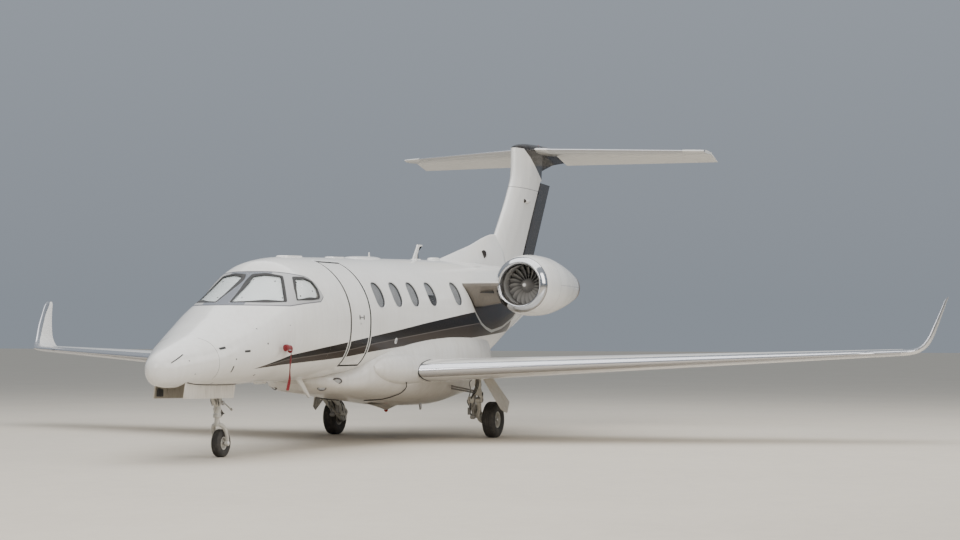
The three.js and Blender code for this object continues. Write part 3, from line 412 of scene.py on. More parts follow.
def painted(name, livery=False, metal_frame=False):
    """White gloss paint, darker and warmer towards the bottom as painted shade and ground reflection; livery
    adds the two-tone stripe, metal_frame the bare windscreen surround.
    """
    made, tree, shader = material(name, WHITE, 0.22, Coat_Weight=0.5, Coat_Roughness=0.06,
        Specular_IOR_Level=0.10 if livery else 0.5)
    x, y, z = axes(tree)
    # Painted shade and warm ground reflection: the paint turns browner and darker towards the bottom.
    low = put(tree, "MapRange", {"Value": z, "From Min": 1.35, "From Max": 0.5})
    colour = layer(tree, sums(tree, "MULTIPLY", low, 0.30), WHITE, UNDERSIDE_SHADE)
    if livery:
        beside = sums(tree, "GREATER_THAN", sums(tree, "ABSOLUTE", y), MIDDLE_BAND)
        tip = sums(tree, "GREATER_THAN", x, STRIPE_TOP[0][0])
        before = sums(tree, "LESS_THAN", x, 2.9)
        side = all_of(tree, tip, before, beside)
        top = curve_over(tree, x, STRIPE_TOP)
        cut = curve_over(tree, x, STRIPE_SPLIT)
        foot = curve_over(tree, x, STRIPE_FOOT)
        band = all_of(tree, sums(tree, "LESS_THAN", z, top), sums(tree, "GREATER_THAN", z, foot), side)
        dark = all_of(tree, sums(tree, "GREATER_THAN", z, cut), band)
        line = all_of(tree, sums(tree, "COMPARE", z, cut, 0.006), band)
        rim = curve_over(tree, x, SCALLOP)
        inside = sums(tree, "GREATER_THAN", z, rim)
        span = all_of(tree, sums(tree, "GREATER_THAN", x, SCALLOP[0][0]),
            sums(tree, "LESS_THAN", x, SCALLOP[-1][0]), beside)
        hollow = all_of(tree, inside, span, sums(tree, "LESS_THAN", z, SCALLOP_HEAD))
        trim = all_of(tree, sums(tree, "COMPARE", z, rim, 0.022), span,
            sums(tree, "LESS_THAN", z, SCALLOP_HEAD - 0.03))
    finish = weathered(tree, shader, colour, DUST, 0.16, 0.17)
    colour = finish["Colour"]
    if livery:
        for mask, tone in ((band, BROWN), (dark, NEAR_BLACK), (line, SILVER_LINE), (hollow, BROWN),
                (trim, SCALLOP_TRIM)):
            colour = layer(tree, mask, colour, tone)
        bare = sums(tree, "SUBTRACT", 1.0, sums(tree, "MAXIMUM", band, hollow))
        feed(shader, Base_Color=colour, Coat_Weight=sums(tree, "MULTIPLY", bare, 0.5))
    if metal_frame:
        bottom = curve_over(tree, x, [(-6.3, 1.93), (-5.50, 1.925), (-5.20, 1.962), (-4.80, 1.994),
            (-4.70, 2.063)])
        edge = curve_over(tree, x, [(-6.3, 2.39), (-5.27, 2.385), (-5.10, 2.352), (-4.83, 2.318),
            (-4.73, 2.214), (-4.695, 2.063)])
        ahead = sums(tree, "LESS_THAN", x, -4.70)
        frame_mask = all_of(tree, sums(tree, "GREATER_THAN", z, bottom), sums(tree, "LESS_THAN", z, edge),
            ahead)
        rims = all_of(tree, sums(tree, "MAXIMUM", sums(tree, "COMPARE", z, bottom, 0.007),
            sums(tree, "COMPARE", z, edge, 0.007)), ahead)
        post = all_of(tree, frame_mask, sums(tree, "LESS_THAN", sums(tree, "ABSOLUTE", y), MIDDLE_BAND))
        colour = layer(tree, frame_mask, colour, (0.46, 0.455, 0.45))
        colour = layer(tree, post, colour, (0.20, 0.21, 0.235))
        bare = sums(tree, "SUBTRACT", bare, frame_mask, use_clamp=True)
        feed(shader, Base_Color=layer(tree, rims, colour, (0.16, 0.16, 0.17)),
            Metallic=sums(tree, "MULTIPLY", frame_mask, 0.25), Coat_Weight=sums(tree, "MULTIPLY", bare, 0.5),
            Roughness=sums(tree, "MULTIPLY_ADD", frame_mask, 0.35, finish["Roughness"]))
    return made


white = painted("white_paint")
liveried = painted("striped_white_paint", livery=True)
cockpit_paint = painted("cockpit_paint", livery=True, metal_frame=True)

AROUND = 192
JOINT = 0.0003


def shell(start, end, step=0.03, wall=WALL):
    """A length of the fuselage: the skin forwards to aft, then the lining back, as one closed tube."""
    angle = turns(AROUND)[None]
    count = int((end - start) / step) + 2
    outer = hull(np.linspace(start, end - JOINT, count)[:, None], angle)
    if not wall:
        return grid(outer)
    inner = hull(np.linspace(end - JOINT, start, max(count // 3, 4))[:, None], angle, wall)
    return grid(np.concatenate([outer, inner]), loop=True)


def rounded(outline, radius, steps=5):
    """An outline with its corners rounded by short parabolas that start a radius before each corner."""
    outline = np.asarray(outline, float)
    ahead, behind = np.roll(outline, -1, 0) - outline, np.roll(outline, 1, 0) - outline
    start = outline + behind / np.linalg.norm(behind, axis=1)[:, None] * radius
    end = outline + ahead / np.linalg.norm(ahead, axis=1)[:, None] * radius
    t = np.linspace(0, 1, steps)[None, :, None]
    arc = (1 - t) ** 2 * start[:, None] + 2 * t * (1 - t) * outline[:, None] + t ** 2 * end[:, None]
    return arc.reshape(-1, 2)


def filled(outline, pitch=0.03):
    """An outline with points added so that no side is longer than the pitch."""
    following = np.roll(outline, -1, 0)
    counts = np.maximum(1, np.ceil(np.linalg.norm(following - outline, axis=1) / pitch)).astype(int)
    return np.concatenate([a + (b - a) * (np.arange(n) / n)[:, None] for a, b,
        n in zip(outline, following, counts)])


def drawn_in(outline, by=0.0, share=1.0):
    """An outline scaled about its middle by a share, and drawn in by a distance."""
    middle = outline.mean(0)
    arm = outline - middle
    reach = np.linalg.norm(arm, axis=1)[:, None]
    return middle + arm * (share - by / reach)


def oval(wide, high, x, z, power=0.8, count=48):
    """A squared ellipse about a point of the side view."""
    angle = turns(count)
    return joined(x + wide / 2 * signed(np.cos(angle), power), z + high / 2 * signed(np.sin(angle), power))


def from_side(side):
    """Places side-view points beside the fuselage, and says which way is inwards."""
    return (lambda flat, w=0.0: joined(flat[..., 0], side * (1.4 - w), flat[..., 1])), (0, -side, 0)


def from_corner(side):
    """Places points of an upright plane turned 45 degrees, and says which way is inwards."""
    half = math.sqrt(0.5)
    return (lambda flat, w=0.0: joined(NOSE_TIP + (flat[..., 0] + 0.3 + w) * half,
        side * (flat[..., 0] - 0.3 - w) * half, flat[..., 1])), (half, -side * half, 0)


def swept(outline, view, profile):
    """A ring that follows the skin: each row of the profile draws the outline in and sets it at a depth."""
    place, inward = view
    rows = [onto(place(drawn_in(outline, by)), inward, inset) for by, inset in profile]
    return grid(rows, loop=True)


def pane(outline, view, front, back, rows=8, by=0.0):
    """A plate that follows the skin between two depths, filled from its middle outwards."""
    place, inward = view
    shares = np.linspace(0, 1, rows + 1)
    drawn = drawn_in(outline, by)
    face = [onto(place(drawn_in(drawn, 0, s)), inward, front) for s in shares]
    rear = [onto(place(drawn_in(drawn, 0, s)), inward, back) for s in shares[::-1]]
    return grid(face + rear)


def cutter(name, outline, view, depth):
    """A block in the shape of an outline that a hole is cut with; it doesn't show."""
    place, _ = view
    piece = build(name, [grid([place(outline), place(outline, depth)])], white, body=None)
    piece.hide_render = True
    return piece


def box_cutter(name, low, high):
    """A square block that a hole is cut with, between two corners."""
    (x0, y0, z0), (x1, y1, z1) = low, high
    ring = np.array([[x0, y0], [x1, y0], [x1, y1], [x0, y1]], float)
    rows = [np.concatenate([ring, np.full((4, 1), z)], 1) for z in (z0, z1)]
    return build(name, [grid(rows)], white, body=None)


st = lambda station: station + NOSE_TIP
SIDES = (("port", -1), ("starboard", 1))
WINDSCREEN = rounded([(1.335, 1.967), (1.580, 2.152), (1.800, 2.337), (1.950, 2.352), (2.142, 2.319),
    (2.116, 2.153), (2.084, 1.980)], 0.022)
SIDE_WINDOW = rounded([(st(2.493), 2.002), (st(2.577), 2.156), (st(2.692), 2.306), (st(2.904), 2.308),
    (st(3.021), 2.261), (st(3.045), 2.158), (st(3.018), 2.060), (st(2.972), 2.029), (st(2.724), 2.015)],
    0.024)
PORT_WINDOWS = [4.89, 5.52, 6.15, 6.85, 7.88]
STARBOARD_WINDOWS = [4.26] + PORT_WINDOWS
WINDOW_WIDE, WINDOW_HIGH = 0.332, 0.360
window_height = lambda station: 2.124 + (station - PORT_WINDOWS[0]) * 0.028
DOOR_X, DOOR_Z = (st(3.81), st(4.455)), (1.14, 2.56)      # the opening

bay = box_cutter("bay_cutter", (st(0.47), -0.215, 0.6), (st(1.76), 0.215, 1.18))
build("nose_skin",
    [grid(hull((NOSE_TIP + (1.3 - JOINT) * np.linspace(0, 1, 70) ** 2)[:, None], turns(AROUND)[None]))],
    liveried, replaces=["nose_section"], cut=[bay], keep=True)

holes = [bay]
for name, side in SIDES:
    holes.append(cutter("windscreen_cutter_" + name, filled(WINDSCREEN), from_corner(side), 1.6))
    holes.append(cutter("side_window_cutter_" + name, filled(SIDE_WINDOW), from_side(side), 1.1))
build("cockpit_skin", [shell(st(1.3), st(3.26), 0.025)], cockpit_paint, replaces=["cockpit_shell"],
    cut=holes)

holes = [box_cutter("door_cutter", (DOOR_X[0], -1.4, DOOR_Z[0]), (DOOR_X[1], -0.19, DOOR_Z[1]))]
for name, side in SIDES:
    for k, station in enumerate(PORT_WINDOWS if side < 0 else STARBOARD_WINDOWS):
        hole = oval(WINDOW_WIDE, WINDOW_HIGH, st(station), window_height(station))
        holes.append(cutter("cabin_window_cutter_%s_%d" % (name, k), hole, from_side(side), 1.2))
build("cabin_skin", [shell(st(3.26), st(8.32), 0.035)], liveried, replaces=["cabin_shell"],
    cut=holes)

build("rear_skin", [shell(st(8.32), st(11.2), 0.04, wall=0)], liveried, replaces=["aft_fuselage"])
VENTRAL = [(st(11.75), 1.745), (st(12.5), 1.74), (st(13.32), 2.03), (st(13.36), 2.3)]
ventral = rounded(VENTRAL, 0.02)
keel_fin = grid([np.insert(drawn_in(ventral, by), 1, y, axis=1) for by, y in ((0.006, -0.012), (0, -0.008),
    (0, 0.008), (0.006, 0.012))])
build("tail_skin", [shell(st(11.2), st(13.92) + JOINT, 0.04, wall=0), keel_fin], white,
    replaces=["tail_cone"])


# The wings: swept aluminium boxes with a smooth white skin, and a polished leading edge that hot air
# keeps free of ice. Each runs through the glove of the belly fairing and turns up into a winglet.
WING_ROOT = (0.90, 5.80, 2.68, 1.045, 0.128)     # span, leading edge station, chord, height, thickness share
WING_TIP = (7.42, 8.85, 0.89, 1.33, 0.115)
WING_START = 0.78                                # span, inside the fairing
HINGE_SHARE = 0.75                               # of the chord, where flap and aileron turn
COVE_GAP = 0.013
COVE_END = 6.982
FLAP_SPAN, AILERON_SPAN = (1.0, 4.56), (4.62, 6.96)
POLISHED = 0.115                                 # depth of the bare leading edge
LUG_HALF = 0.011
EDGE_METAL = (0.58, 0.58, 0.60)


def wing_at(y):
    """Leading edge x, chord, height and thickness share at a span: straight from root to tip."""
    t = (np.abs(y) - WING_ROOT[0]) / (WING_TIP[0] - WING_ROOT[0])
    le, chord, z, ratio = (a + (b - a) * t for a, b in zip(WING_ROOT[1:], WING_TIP[1:]))
    return le + NOSE_TIP, chord, z, ratio


def half_thick(share, ratio):
    """Half the thickness of a four-digit wing section, as a share of the chord."""
    return 5 * ratio * (0.2969 * np.sqrt(share) - 0.126 * share - 0.3516 * share ** 2 + 0.2843 * share ** 3
        - 0.1015 * share ** 4)


def over_and_under(end, count=26):
    """Chord shares from the rear over the nose and back below, close together at the nose, and the sign
    of each: a cosine spacing."""
    run = end * (1 - np.cos(np.linspace(0, np.pi / 2, count)))
    share = np.concatenate([run[::-1], run[1:]])
    return share, np.concatenate([np.ones(count), -np.ones(count - 1)])


def wing_row(side, y, end):
    """One section of the wing, cut off at a share of its chord."""
    le, chord, z, ratio = wing_at(y)
    share, sign = over_and_under(end)
    return joined(le + share * chord, side * y, z + sign * half_thick(share, ratio) * chord)


def hinge_at(y):
    """Hinge x, height, nose radius and chord of a flap or aileron at a span."""
    le, chord, z, ratio = wing_at(y)
    return le + HINGE_SHARE * chord, z, half_thick(HINGE_SHARE, ratio) * chord, chord


def nosed(x, radius, steps, back, low, high, middle=0.0):
    """Half a circle about a hinge, then back along a lower line and forward along an upper one."""
    angle = np.linspace(np.pi / 2, np.pi * 1.5, steps)
    return (np.concatenate([x + radius * np.cos(angle), back, back[::-1]]),
        np.concatenate([middle + radius * np.sin(angle), low, high[::-1]]))


def surface_row(side, y):
    """One section of a flap or aileron: a round nose about the hinge and the wing's own shape behind."""
    x, z, radius, chord = hinge_at(y)
    ratio = wing_at(y)[3]
    run = np.linspace(HINGE_SHARE, 1, 8)[1:]
    rise = half_thick(run, ratio) * chord
    along, up = nosed(x, radius, 13, x + (run - HINGE_SHARE) * chord, z - rise, z + rise, z)
    return joined(along, side * y, up)


def edged(name, base, edge_start, edge_slope, depth):
    """White paint with a polished strip along a leading edge that is straight over the span; a thin dark
    seal line lies behind the strip, and the lower surface is painted darker as shade and ground reflection."""
    made, tree, shader = material(name, base, 0.22, Coat_Weight=0.5, Coat_Roughness=0.06)
    x, y, z = axes(tree)
    edge = sums(tree, "MULTIPLY_ADD", sums(tree, "ABSOLUTE", y), edge_slope, edge_start)
    behind = sums(tree, "SUBTRACT", x, edge)
    # Painted shade and ground reflection: darker and warmer towards the lower surface.
    low = put(tree, "MapRange", {"Value": z, "From Min": 1.4, "From Max": 0.9})
    colour = layer(tree, sums(tree, "MULTIPLY", low, 0.2), base, UNDERSIDE_SHADE)
    finish = weathered(tree, shader, colour, DUST, 0.15, 0.18)
    bare = sums(tree, "LESS_THAN", behind, depth)
    seal = sums(tree, "COMPARE", behind, depth, 0.004)
    toned = layer(tree, bare, finish["Colour"], EDGE_METAL)
    feed(shader, Base_Color=layer(tree, seal, toned, (0.05, 0.05, 0.05)),
        Metallic=sums(tree, "MULTIPLY", bare, 0.95))
    return made


wing_slope = (WING_TIP[1] - WING_ROOT[1]) / (WING_TIP[0] - WING_ROOT[0])
wing_paint = edged("wing_paint", WHITE, st(WING_ROOT[1]) - WING_ROOT[0] * wing_slope, wing_slope, POLISHED)


def curved(points, count):
    """A smooth line through points: each coordinate is a monotone cubic of the distance along them."""
    points = np.asarray(points, float)
    steps = np.linalg.norm(np.diff(points, axis=0), axis=1)
    along = np.concatenate([[0], np.cumsum(steps)])
    at = np.linspace(0, along[-1], count)
    return joined(*(eased(along, points[:, k], at) for k in range(points.shape[1])))


def tube_line(path, radius, sides=8):
    """A round bead of sealant along a path: a ring carried square to the path's direction."""
    along = np.gradient(path, axis=0)
    along /= np.linalg.norm(along, axis=1)[:, None]
    first = np.cross(along, (0.31, 0.17, 0.93))
    first /= np.linalg.norm(first, axis=1)[:, None]
    second = np.cross(along, first)
    angle = turns(sides)[None, :, None]
    return grid(path[:, None] + radius * (np.cos(angle) * first[:, None] + np.sin(angle) * second[:, None]))


def plate(outline, low, high, edge=0.002, turn=None):
    """A flat plate: an outline in x and z, given depth along y, with its edges broken; turn moves it."""
    outline = np.asarray(outline, float)
    rows = [np.insert(drawn_in(outline, by), 1, y, axis=1) for by, y in ((edge, low), (0, low + edge),
        (0, high - edge), (edge, high))]
    rows = np.array(rows)
    return grid(rows if turn is None else turn(rows))


def tongue(front, x, z, size):
    """An outline with a round end: straight back from a front line, then half a circle about a point."""
    angle = np.linspace(-np.pi / 2, np.pi / 2, 9)
    return [(front, z - size), *zip(x + size * np.cos(angle), z + size * np.sin(angle)), (front, z + size)]


def lug_plates(side, spans, reach=0.05):
    """Hinge plates from the rear of the wing to the axis of a flap or aileron, with round ends."""
    made = []
    for y in spans:
        x, z, radius, _ = hinge_at(y)
        size = min(0.014, radius * 0.5)
        made.append(plate(tongue(x - radius - reach, x, z, size), side * y - size / 2, side * y + size / 2,
            0.001))
    return made


def notches(side, spans):
    """Blocks in which the hinge plates stand, cut from the nose of a flap or aileron."""
    return [box_cutter("notch_cutter", (hinge_at(y)[0] - 0.2, side * y - LUG_HALF, 0.6),
        (hinge_at(y)[0] + 0.03, side * y + LUG_HALF, 1.8)) for y in spans]


LUGS = {"flap": (1.5, 4.15), "aileron": (4.95, 6.6)}
WINGLET = np.array([     # span, leading edge station, chord, height, thickness, lean in degrees
    [7.4205, 8.850, 0.890, 1.330, 0.100, 0],
    [7.50, 8.895, 0.840, 1.336, 0.093, 12],
    [7.58, 8.960, 0.780, 1.352, 0.084, 24],
    [7.68, 9.140, 0.640, 1.420, 0.066, 52],
    [7.76, 9.320, 0.500, 1.560, 0.050, 68],
    [7.82, 9.470, 0.420, 1.740, 0.040, 71],
    [7.88, 9.660, 0.320, 1.940, 0.030, 73],
    [7.93, 9.845, 0.230, 2.125, 0.021, 73],
    [7.948, 9.935, 0.150, 2.165, 0.012, 73],
])
winglet_paint, tree, shader = material("winglet_paint", WHITE, 0.22, Coat_Weight=0.5, Coat_Roughness=0.06)
x, y, z = axes(tree)
front_line = curve_over(tree, z, [(1.33, 0.1), (1.352, 0.114), (1.42, 0.132), (1.56, 0.150), (1.94, 0.184),
    (2.165, 0.209)])
bare_edge = sums(tree, "LESS_THAN", x, sums(tree, "MULTIPLY_ADD", front_line, 10.0, 0.10))
finish = weathered(tree, shader, WHITE, DUST, 0.12, 0.18)
feed(shader, Base_Color=layer(tree, bare_edge, finish["Colour"], EDGE_METAL),
    Metallic=sums(tree, "MULTIPLY", bare_edge, 0.95))

for name, side in SIDES:
    cove_spans = np.concatenate([[WING_START], np.linspace(0.9, COVE_END, 26)])
    rows = []
    for y in cove_spans:
        x, z, radius, chord = hinge_at(y)
        rows.append(wing_row(side, y, HINGE_SHARE - (radius + COVE_GAP) / chord))
    for y in np.linspace(COVE_END + 1e-4, WING_TIP[0], 5):
        rows.append(wing_row(side, y, 1.0))
    build("wing_skin_" + name, [grid(rows)] + lug_plates(side, LUGS["flap"])
        + lug_plates(side, LUGS["aileron"]), wing_paint, replaces=["wing_" + name],
        sharp=40)
    for kind, span in (("flap", FLAP_SPAN), ("aileron", AILERON_SPAN)):
        rows = [surface_row(side, y) for y in np.linspace(span[0], span[1], 14)]
        tools = notches(side, LUGS[kind])
        build(kind + "_skin_" + name, [grid(rows)], white, kind + "_body_" + name, cut=tools,
            replaces=[kind + "_" + name])
    share, sign = over_and_under(1.0)
    dense = np.linspace(0, 1, 33)
    known = np.linspace(0, 1, len(WINGLET))
    y, le, chord, z, thick, lean = (eased(known, WINGLET[:, k], dense)[:, None] for k in range(6))
    rise = sign * half_thick(share, thick / chord) * chord
    lean = np.radians(lean)
    rows = joined(le + NOSE_TIP + share * chord, side * (y - rise * np.sin(lean)), z + rise * np.cos(lean))
    build("winglet_skin_" + name, [grid(rows)], winglet_paint, replaces=["winglet_" + name],
        sharp=45)


# The belly fairing: a moulded composite shell under the wing joint, with a rounded glove ahead of each
# wing root. It is painted white, a little greyer than the fuselage, and screwed on along its edge.
FAIRING = np.array([     # station, half width, lower face, upper face
    [3.75, 0.22, 0.89, 1.00], [3.9, 0.42, 0.812, 1.04], [4.2, 0.59, 0.76, 1.09], [4.48, 0.70, 0.732, 1.15],
    [4.7, 0.78, 0.714, 1.30], [5.3, 0.88, 0.655, 1.52], [6.2, 0.93, 0.575, 1.68], [7.0, 0.945, 0.505, 1.76],
    [7.6, 0.945, 0.495, 1.79], [8.3, 0.93, 0.56, 1.79], [9.2, 0.83, 0.68, 1.74], [9.9, 0.56, 1.01, 1.50],
])
GLOVE = np.array([       # station, middle span, half width, middle height, half height
    [4.75, 0.78, 0.03, 1.09, 0.04], [4.9, 0.785, 0.10, 1.088, 0.13], [5.2, 0.80, 0.155, 1.085, 0.195],
    [5.65, 0.815, 0.18, 1.08, 0.225], [6.2, 0.82, 0.18, 1.078, 0.222], [6.7, 0.82, 0.14, 1.075, 0.18],
    [7.2, 0.81, 0.04, 1.075, 0.06],
])
fairing_paint, tree, shader = material("fairing_paint", WHITE, 0.3, Coat_Weight=0.3)
# Darker and browner towards the bottom: painted shade and ground reflection on the underside.
low = put(tree, "MapRange", {"Value": axes(tree)[2], "From Min": 1.25, "From Max": 0.5})
weathered(tree, shader, layer(tree, sums(tree, "MULTIPLY", low, 0.55), (0.74, 0.72, 0.68),
    (0.50, 0.44, 0.36)), DUST, 0.3, 0.28)

dense = np.linspace(FAIRING[0, 0], FAIRING[-1, 0], 70)
half, low_face, high_face = (eased(FAIRING[:, 0], FAIRING[:, k], dense)[:, None] for k in (1, 2, 3))
angle = turns(96)[None]
belly = joined(st(dense)[:, None], half * signed(np.cos(angle), 0.72), (low_face + high_face) / 2
    + (high_face - low_face) / 2 * signed(np.sin(angle), 0.72))
gloves = []
for name, side in SIDES:
    dense = np.linspace(GLOVE[0, 0], GLOVE[-1, 0], 50)
    span, half, middle, high = (eased(GLOVE[:, 0], GLOVE[:, k], dense)[:, None] for k in (1, 2, 3, 4))
    angle = turns(48)[None]
    gloves.append(grid(joined(st(dense)[:, None], side * span + half * np.cos(angle), middle + high
        * np.sin(angle))))
build("belly_shell", [grid(belly)], fairing_paint, replaces=["belly_fairing"])
build("wing_root_gloves", gloves, fairing_paint, replaces=["belly_fairing"])
gap_black = plain("gap_sealant", (0.012, 0.012, 0.012), (0.10, 0.09, 0.07), 0.2, 0.75)
gaps = []
for name, side in SIDES:
    rows = []
    for y, proud in ((0.985, 1.01), (0.987, 1.04), (1.003, 1.04), (1.005, 1.01)):
        row = wing_row(side, y, 0.17)
        middle = row.mean(0)
        rows.append(middle + (row - middle) * (proud, 1, proud))
    gaps.append(grid(rows))
    seam = curved([(st(5.60), side * 0.915, 0.885), (st(5.73), side * 0.860, 0.815),
        (st(5.80), side * 0.740, 0.724), (st(5.745), side * 0.594, 0.664), (st(5.725), side * 0.448, 0.631),
        (st(5.71), side * 0.20, 0.613)], 60)
    gaps.append(tube_line(seam, 0.007))
build("wing_root_seals", gaps, gap_black)


# The fin: a tall swept white surface that grows out of a long dorsal fillet. Its rear edge is open for
# the rudder, and bracket arms carry the rudder's hinge pins.
FIN = np.array([         # height, leading edge station, rear station, half thickness
    [2.56, 11.00, 12.61, 0.120], [3.32, 11.64, 13.12, 0.120], [4.12, 12.31, 13.655, 0.125],
    [4.43, 12.50, 13.86, 0.130], [4.60, 12.52, 13.875, 0.132], [4.93, 12.53, 13.90, 0.135],
])
FIN_SHARES = np.array([[1, 0.62], [0.75, 0.85], [0.45, 1], [0.2, 0.86], [0.06, 0.5], [0, 0]])
RUDDER_FOOT, RUDDER_HEAD = (2.96, 12.88, 13.59), (4.40, 13.85, 14.56)     # height, hinge and rear stations
RUDDER_NOSE = 0.068
SHOULDER_SLOPE = 0.46                            # of the line above which the fin is dark
RUDDER_GAP = 0.012
DORSAL = np.array([[9.0, 0.09, 2.79], [10.3, 0.15, 3.06], [11.64, 0.15, 3.33], [11.9, 0.09, 3.33]])

DARK_BROWN = (0.018, 0.015, 0.014)
dark_paint = plain("dark_brown_paint", DARK_BROWN, (0.08, 0.065, 0.05), 0.2, 0.22, Coat_Weight=0.12,
    Coat_Roughness=0.08, Specular_IOR_Level=0.25)

fin_paint, tree, shader = material("fin_paint", WHITE, 0.22, Coat_Weight=0.5, Coat_Roughness=0.06)
x, y, z = axes(tree)
seam = sums(tree, "COMPARE", z, 4.22, 0.006)
finish = weathered(tree, shader, WHITE, DUST, 0.14, 0.18)
lined_up = layer(tree, sums(tree, "MULTIPLY", seam, 0.75), finish["Colour"], (0.10, 0.09, 0.08))
shoulder = sums(tree, "GREATER_THAN", sums(tree, "MULTIPLY_ADD", x, SHOULDER_SLOPE, z), 10.82 + SHOULDER_SLOPE
    * NOSE_TIP)
feed(shader, Base_Color=layer(tree, shoulder, lined_up, DARK_BROWN), Coat_Weight=sums(tree, "MULTIPLY_ADD",
    shoulder, -0.45, 0.5))


def rudder_line(z):
    """Hinge x of the rudder at a height: straight from foot to head."""
    return NOSE_TIP + RUDDER_FOOT[1] + (z - RUDDER_FOOT[0]) / (RUDDER_HEAD[0]
        - RUDDER_FOOT[0]) * (RUDDER_HEAD[1] - RUDDER_FOOT[1])


def fin_row(z, cove):
    """One level section of the fin: its thickness eased over the chord, cut off ahead of the rudder."""
    le, rear, thick = (eased(FIN[:, 0], FIN[:, k], z) for k in (1, 2, 3))
    end = 1.0
    if cove:
        end = min(1.0, (rudder_line(z) - NOSE_TIP - RUDDER_NOSE - RUDDER_GAP - le) / (rear - le))
    share, sign = over_and_under(end, 22)
    half = thick * np.interp(np.sqrt(share), np.sqrt(FIN_SHARES[::-1, 0]), FIN_SHARES[::-1, 1])
    near = thick * 2.6 * np.sqrt(np.clip(share, 0, 1))
    half = np.minimum(half, near)
    return joined(NOSE_TIP + le + share * (rear - le), sign * half, z)


levels = np.concatenate([np.linspace(2.5, RUDDER_HEAD[0] + 0.02, 40), np.linspace(RUDDER_HEAD[0] + 0.0205,
    4.93, 12)])
fin_rows = [fin_row(max(z, 2.56), k < 40) + np.array([0, 0, min(0, z - 2.56)]) for k, z in enumerate(levels)]
dense = np.linspace(DORSAL[0, 0], DORSAL[-1, 0], 60)
half, top = (eased(DORSAL[:, 0], DORSAL[:, k], dense)[:, None] for k in (1, 2))
foot = section(st(dense))[0][:, None] - 0.16
spread = np.linspace(0, np.pi, 25)[None]
shape = np.sin(spread) ** 1.6
ridge = joined(st(dense)[:, None], -np.cos(spread) * (half + 0.03) * (1 - 0.72 * shape), foot + (top - foot)
    * np.sin(spread) ** 0.75)
RUDDER_LUGS = (0.15, 0.85)
fin_lugs = []
for share in RUDDER_LUGS:
    z = RUDDER_FOOT[0] + share * (RUDDER_HEAD[0] - RUDDER_FOOT[0])
    x = rudder_line(z)
    ring = np.array(tongue(x - 0.15, x, 0.0, 0.016))
    fin_lugs.append(grid([np.insert(ring, 2, h, axis=1) for h in (z - 0.008, z + 0.008)]))
build("fin_skin", [grid(fin_rows), grid(ridge)] + fin_lugs, fin_paint, replaces=["fin"])

# Small scoops on the fin: a ram air intake low on the port side and one high up.
intakes = []
for x, z, length, wide in ((st(12.80), 3.99, 0.30, 0.085), (st(10.74), 2.95, 0.16, 0.15)):
    t = np.linspace(0, 1, 9)[:, None]
    angle = turns(20)[None]
    swell = np.sqrt(1 - (1 - t) ** 2 * 0.35) * (1 - 0.75 * t ** 3)
    intakes.append(grid(joined(x + length * t, -0.125 + 0.05 * swell * np.cos(angle), z + wide / 2 * swell
        * np.sin(angle))))
build("fin_air_intakes", intakes, fin_paint)
turn = turns(28)[None]
mouths = []
for x, y, z, wide, tall in ((st(10.735), -0.135, 2.95, 0.045, 0.070), (st(12.795), -0.125, 3.99, 0.040,
        0.034)):
    rows = [joined(x + run, y + wide * share * np.cos(turn), z + tall * share * np.sin(turn))[0] for run,
        share in ((-0.006, 0.6), (-0.004, 0.98), (0.02, 1.0))]
    mouths.append(grid(rows))
build("fin_intake_mouths", mouths, dark_paint)


# The rudder: a dark painted surface with a round nose, stiffened by ribs.
def rudder_row(z):
    """One level section of the rudder: half a circle about the hinge, drawn out to a thin rear edge."""
    t = (z - RUDDER_FOOT[0]) / (RUDDER_HEAD[0] - RUDDER_FOOT[0])
    x = rudder_line(z)
    rear = NOSE_TIP + RUDDER_FOOT[2] + t * (RUDDER_HEAD[2] - RUDDER_FOOT[2])
    run = np.linspace(0, 1, 8)[1:]
    half = RUDDER_NOSE + (0.003 - RUDDER_NOSE) * run
    along, out = nosed(x, RUDDER_NOSE, 15, x + run * (rear - x), -half, half)
    return joined(along, out, z)


tools = []
for share in RUDDER_LUGS:
    z = RUDDER_FOOT[0] + share * (RUDDER_HEAD[0] - RUDDER_FOOT[0])
    tools.append(box_cutter("notch_cutter", (rudder_line(z) - 0.2, -0.12, z - 0.019),
        (rudder_line(z) + 0.03, 0.12, z + 0.019)))
build("rudder_skin",
    [grid([rudder_row(z) for z in np.linspace(RUDDER_FOOT[0] + 0.004, RUDDER_HEAD[0] - 0.010, 12)])],
    dark_paint, "rudder_body", replaces=["rudder"], cut=tools)


# The tailplane: one white surface across the top of the fin with a polished leading edge and white
# cuffs at its root and tips. The elevators behind it hang down when the controls are unlocked.
STAB_Z = 4.96
STAB_ROOT, STAB_TIP, STAB_HALF = (13.24, 1.18), (14.56, 0.62), 2.965      # station and chord, half span
STAB_SHARES = np.array([[1, 1], [0.6, 1.5], [0.35, 1.7], [0.14, 1.25], [0.03, 0.6], [0, 0]])
ELEVATOR_SPAN, ELEVATOR_REAR, ELEVATOR_DROOP = (0.175, 2.955), (15.06, 15.64), math.radians(14)
ELEVATOR_LUGS = (0.52, 2.5)


def stab_at(y):
    """Leading edge x, hinge x and hinge radius of the tailplane at a span."""
    t = abs(y) / STAB_HALF
    le = NOSE_TIP + STAB_ROOT[0] + (STAB_TIP[0] - STAB_ROOT[0]) * t
    return le, le + STAB_ROOT[1] + (STAB_TIP[1] - STAB_ROOT[1]) * t, 0.030 - 0.012 * t


def stab_row(y):
    """One section of the tailplane: its thickness eased over the chord, ending ahead of the elevator."""
    le, hinge, radius = stab_at(y)
    share, sign = over_and_under(1.0, 22)
    half = radius * np.interp(np.sqrt(share), np.sqrt(STAB_SHARES[::-1, 0]), STAB_SHARES[::-1, 1])
    return joined(le + share * (hinge - le - radius - 0.012), y, STAB_Z + sign * half)


